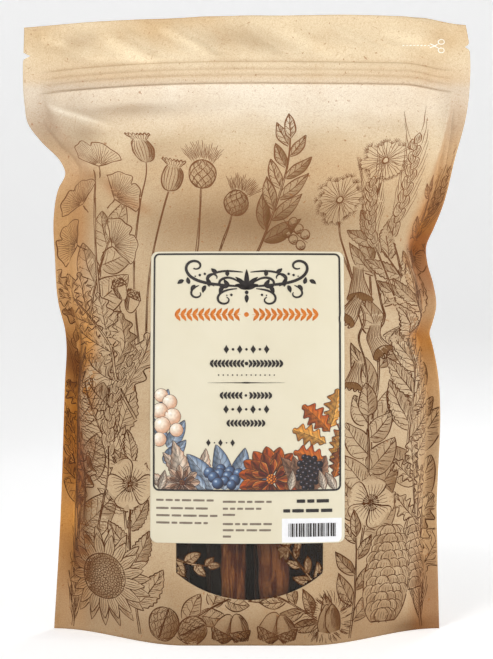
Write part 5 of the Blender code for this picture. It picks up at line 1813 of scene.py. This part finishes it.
def painted_material():
    """Printed colours, from the painting's own colour at each point, with a fine dot of the printing screen."""
    finish = Finish("painted_border", 0.45)
    paint = finish.add("ShaderNodeAttribute", attribute_name="paint").outputs["Color"]
    dots = finish.ranged(finish.noise(700.0, 3.0), 0.35, 0.75, 0.0, 0.35)
    finish.shade("Base Color", finish.mix(dots, paint, (150, 132, 120)))
    return finish.made


border = autumn_border()
piece, paint = laid_patches("label_painted_border", border, lambda flat, share: on_label(flat, 0.03 + 0.10 * share),
                            in_frame, painted_material())
held = piece.data.attributes.new("paint", "FLOAT_COLOR", "POINT")
held.data.foreach_set("color", np.insert(linear(paint), 3, 1.0, axis=1).ravel())
SEPIA_INK = plain_ink("sepia_ink", (58, 34, 26), (74, 46, 34))
laid_lines("label_border_lines", border, lambda flat: on_label(flat, 0.17), in_frame, SEPIA_INK)


# ---------------------------------------------------------------------------------------------------------------
# Floor and lights: a glowing white sweep on every side, a soft light above and in front, fills on both sides,
# and one behind for the views from there.

def soft_light(name, place, turn, size, power):
    """A square area light, turned in degrees."""
    lamp = bpy.data.lights.new(name, "AREA")
    lamp.size = size
    lamp.energy = power
    made = bpy.data.objects.new(name, lamp)
    made.location = place
    made.rotation_euler = [math.radians(angle) for angle in turn]
    bpy.context.scene.collection.objects.link(made)


soft_light("top_front_light", (-0.42, -0.78, 1.02), (44, 0, -28), 0.36, 7.0)
soft_light("left_light", (-1.2, -0.6, 0.35), (82, 0, -63), 0.7, 1.8)
soft_light("right_light", (1.22, -0.5, 0.38), (80, 0, 68), 0.5, 8.0)
soft_light("back_light", (0.5, 1.15, 0.95), (52, 0, 156), 0.5, 6.0)

world = bpy.data.worlds.new("studio")
world.use_nodes = True
world.node_tree.nodes["Background"].inputs["Color"].default_value = (1, 1, 1, 1)
world.node_tree.nodes["Background"].inputs["Strength"].default_value = 0.05
bpy.context.scene.world = world

SWEEP_REACH, SWEEP_CURVE, SWEEP_TOP, SWEEP_GLOW = 1.3, 1.2, 1.6, 0.385


def sweep():
    """A floor that curves up into a wall on every side: two straight runs joined by a quarter circle, turned about
    the vertical."""
    bend = np.linspace(0, math.pi / 2, 17)
    out = np.concatenate([[0.3], SWEEP_REACH + SWEEP_CURVE * np.sin(bend), [SWEEP_REACH + SWEEP_CURVE]])
    z = np.concatenate([[0], SWEEP_CURVE * (1 - np.cos(bend)), [SWEEP_TOP]])
    turn = -np.linspace(0, 2 * math.pi, 97)[:-1]
    flat = out[:, None, None] * unit(turn)
    points = np.concatenate([flat, np.broadcast_to(z[:, None, None], (len(z), len(turn), 1))], axis=-1)
    finish = Finish("sweep", 0.8, 0.1)
    finish.shade("Base Color", (0.86, 0.86, 0.86, 1))
    finish.shade("Emission Color", (1, 1, 1, 1))
    finish.shade("Emission Strength", SWEEP_GLOW)
    mesh = bpy.data.meshes.new("sweep")
    mesh.from_pydata(points.reshape(-1, 3).tolist(), [], tube_faces(*points.shape[:2])[:-1])
    mesh.shade_smooth()
    mesh.materials.append(finish.made)
    made = bpy.data.objects.new("sweep", mesh)
    bpy.context.scene.collection.objects.link(made)


sweep()
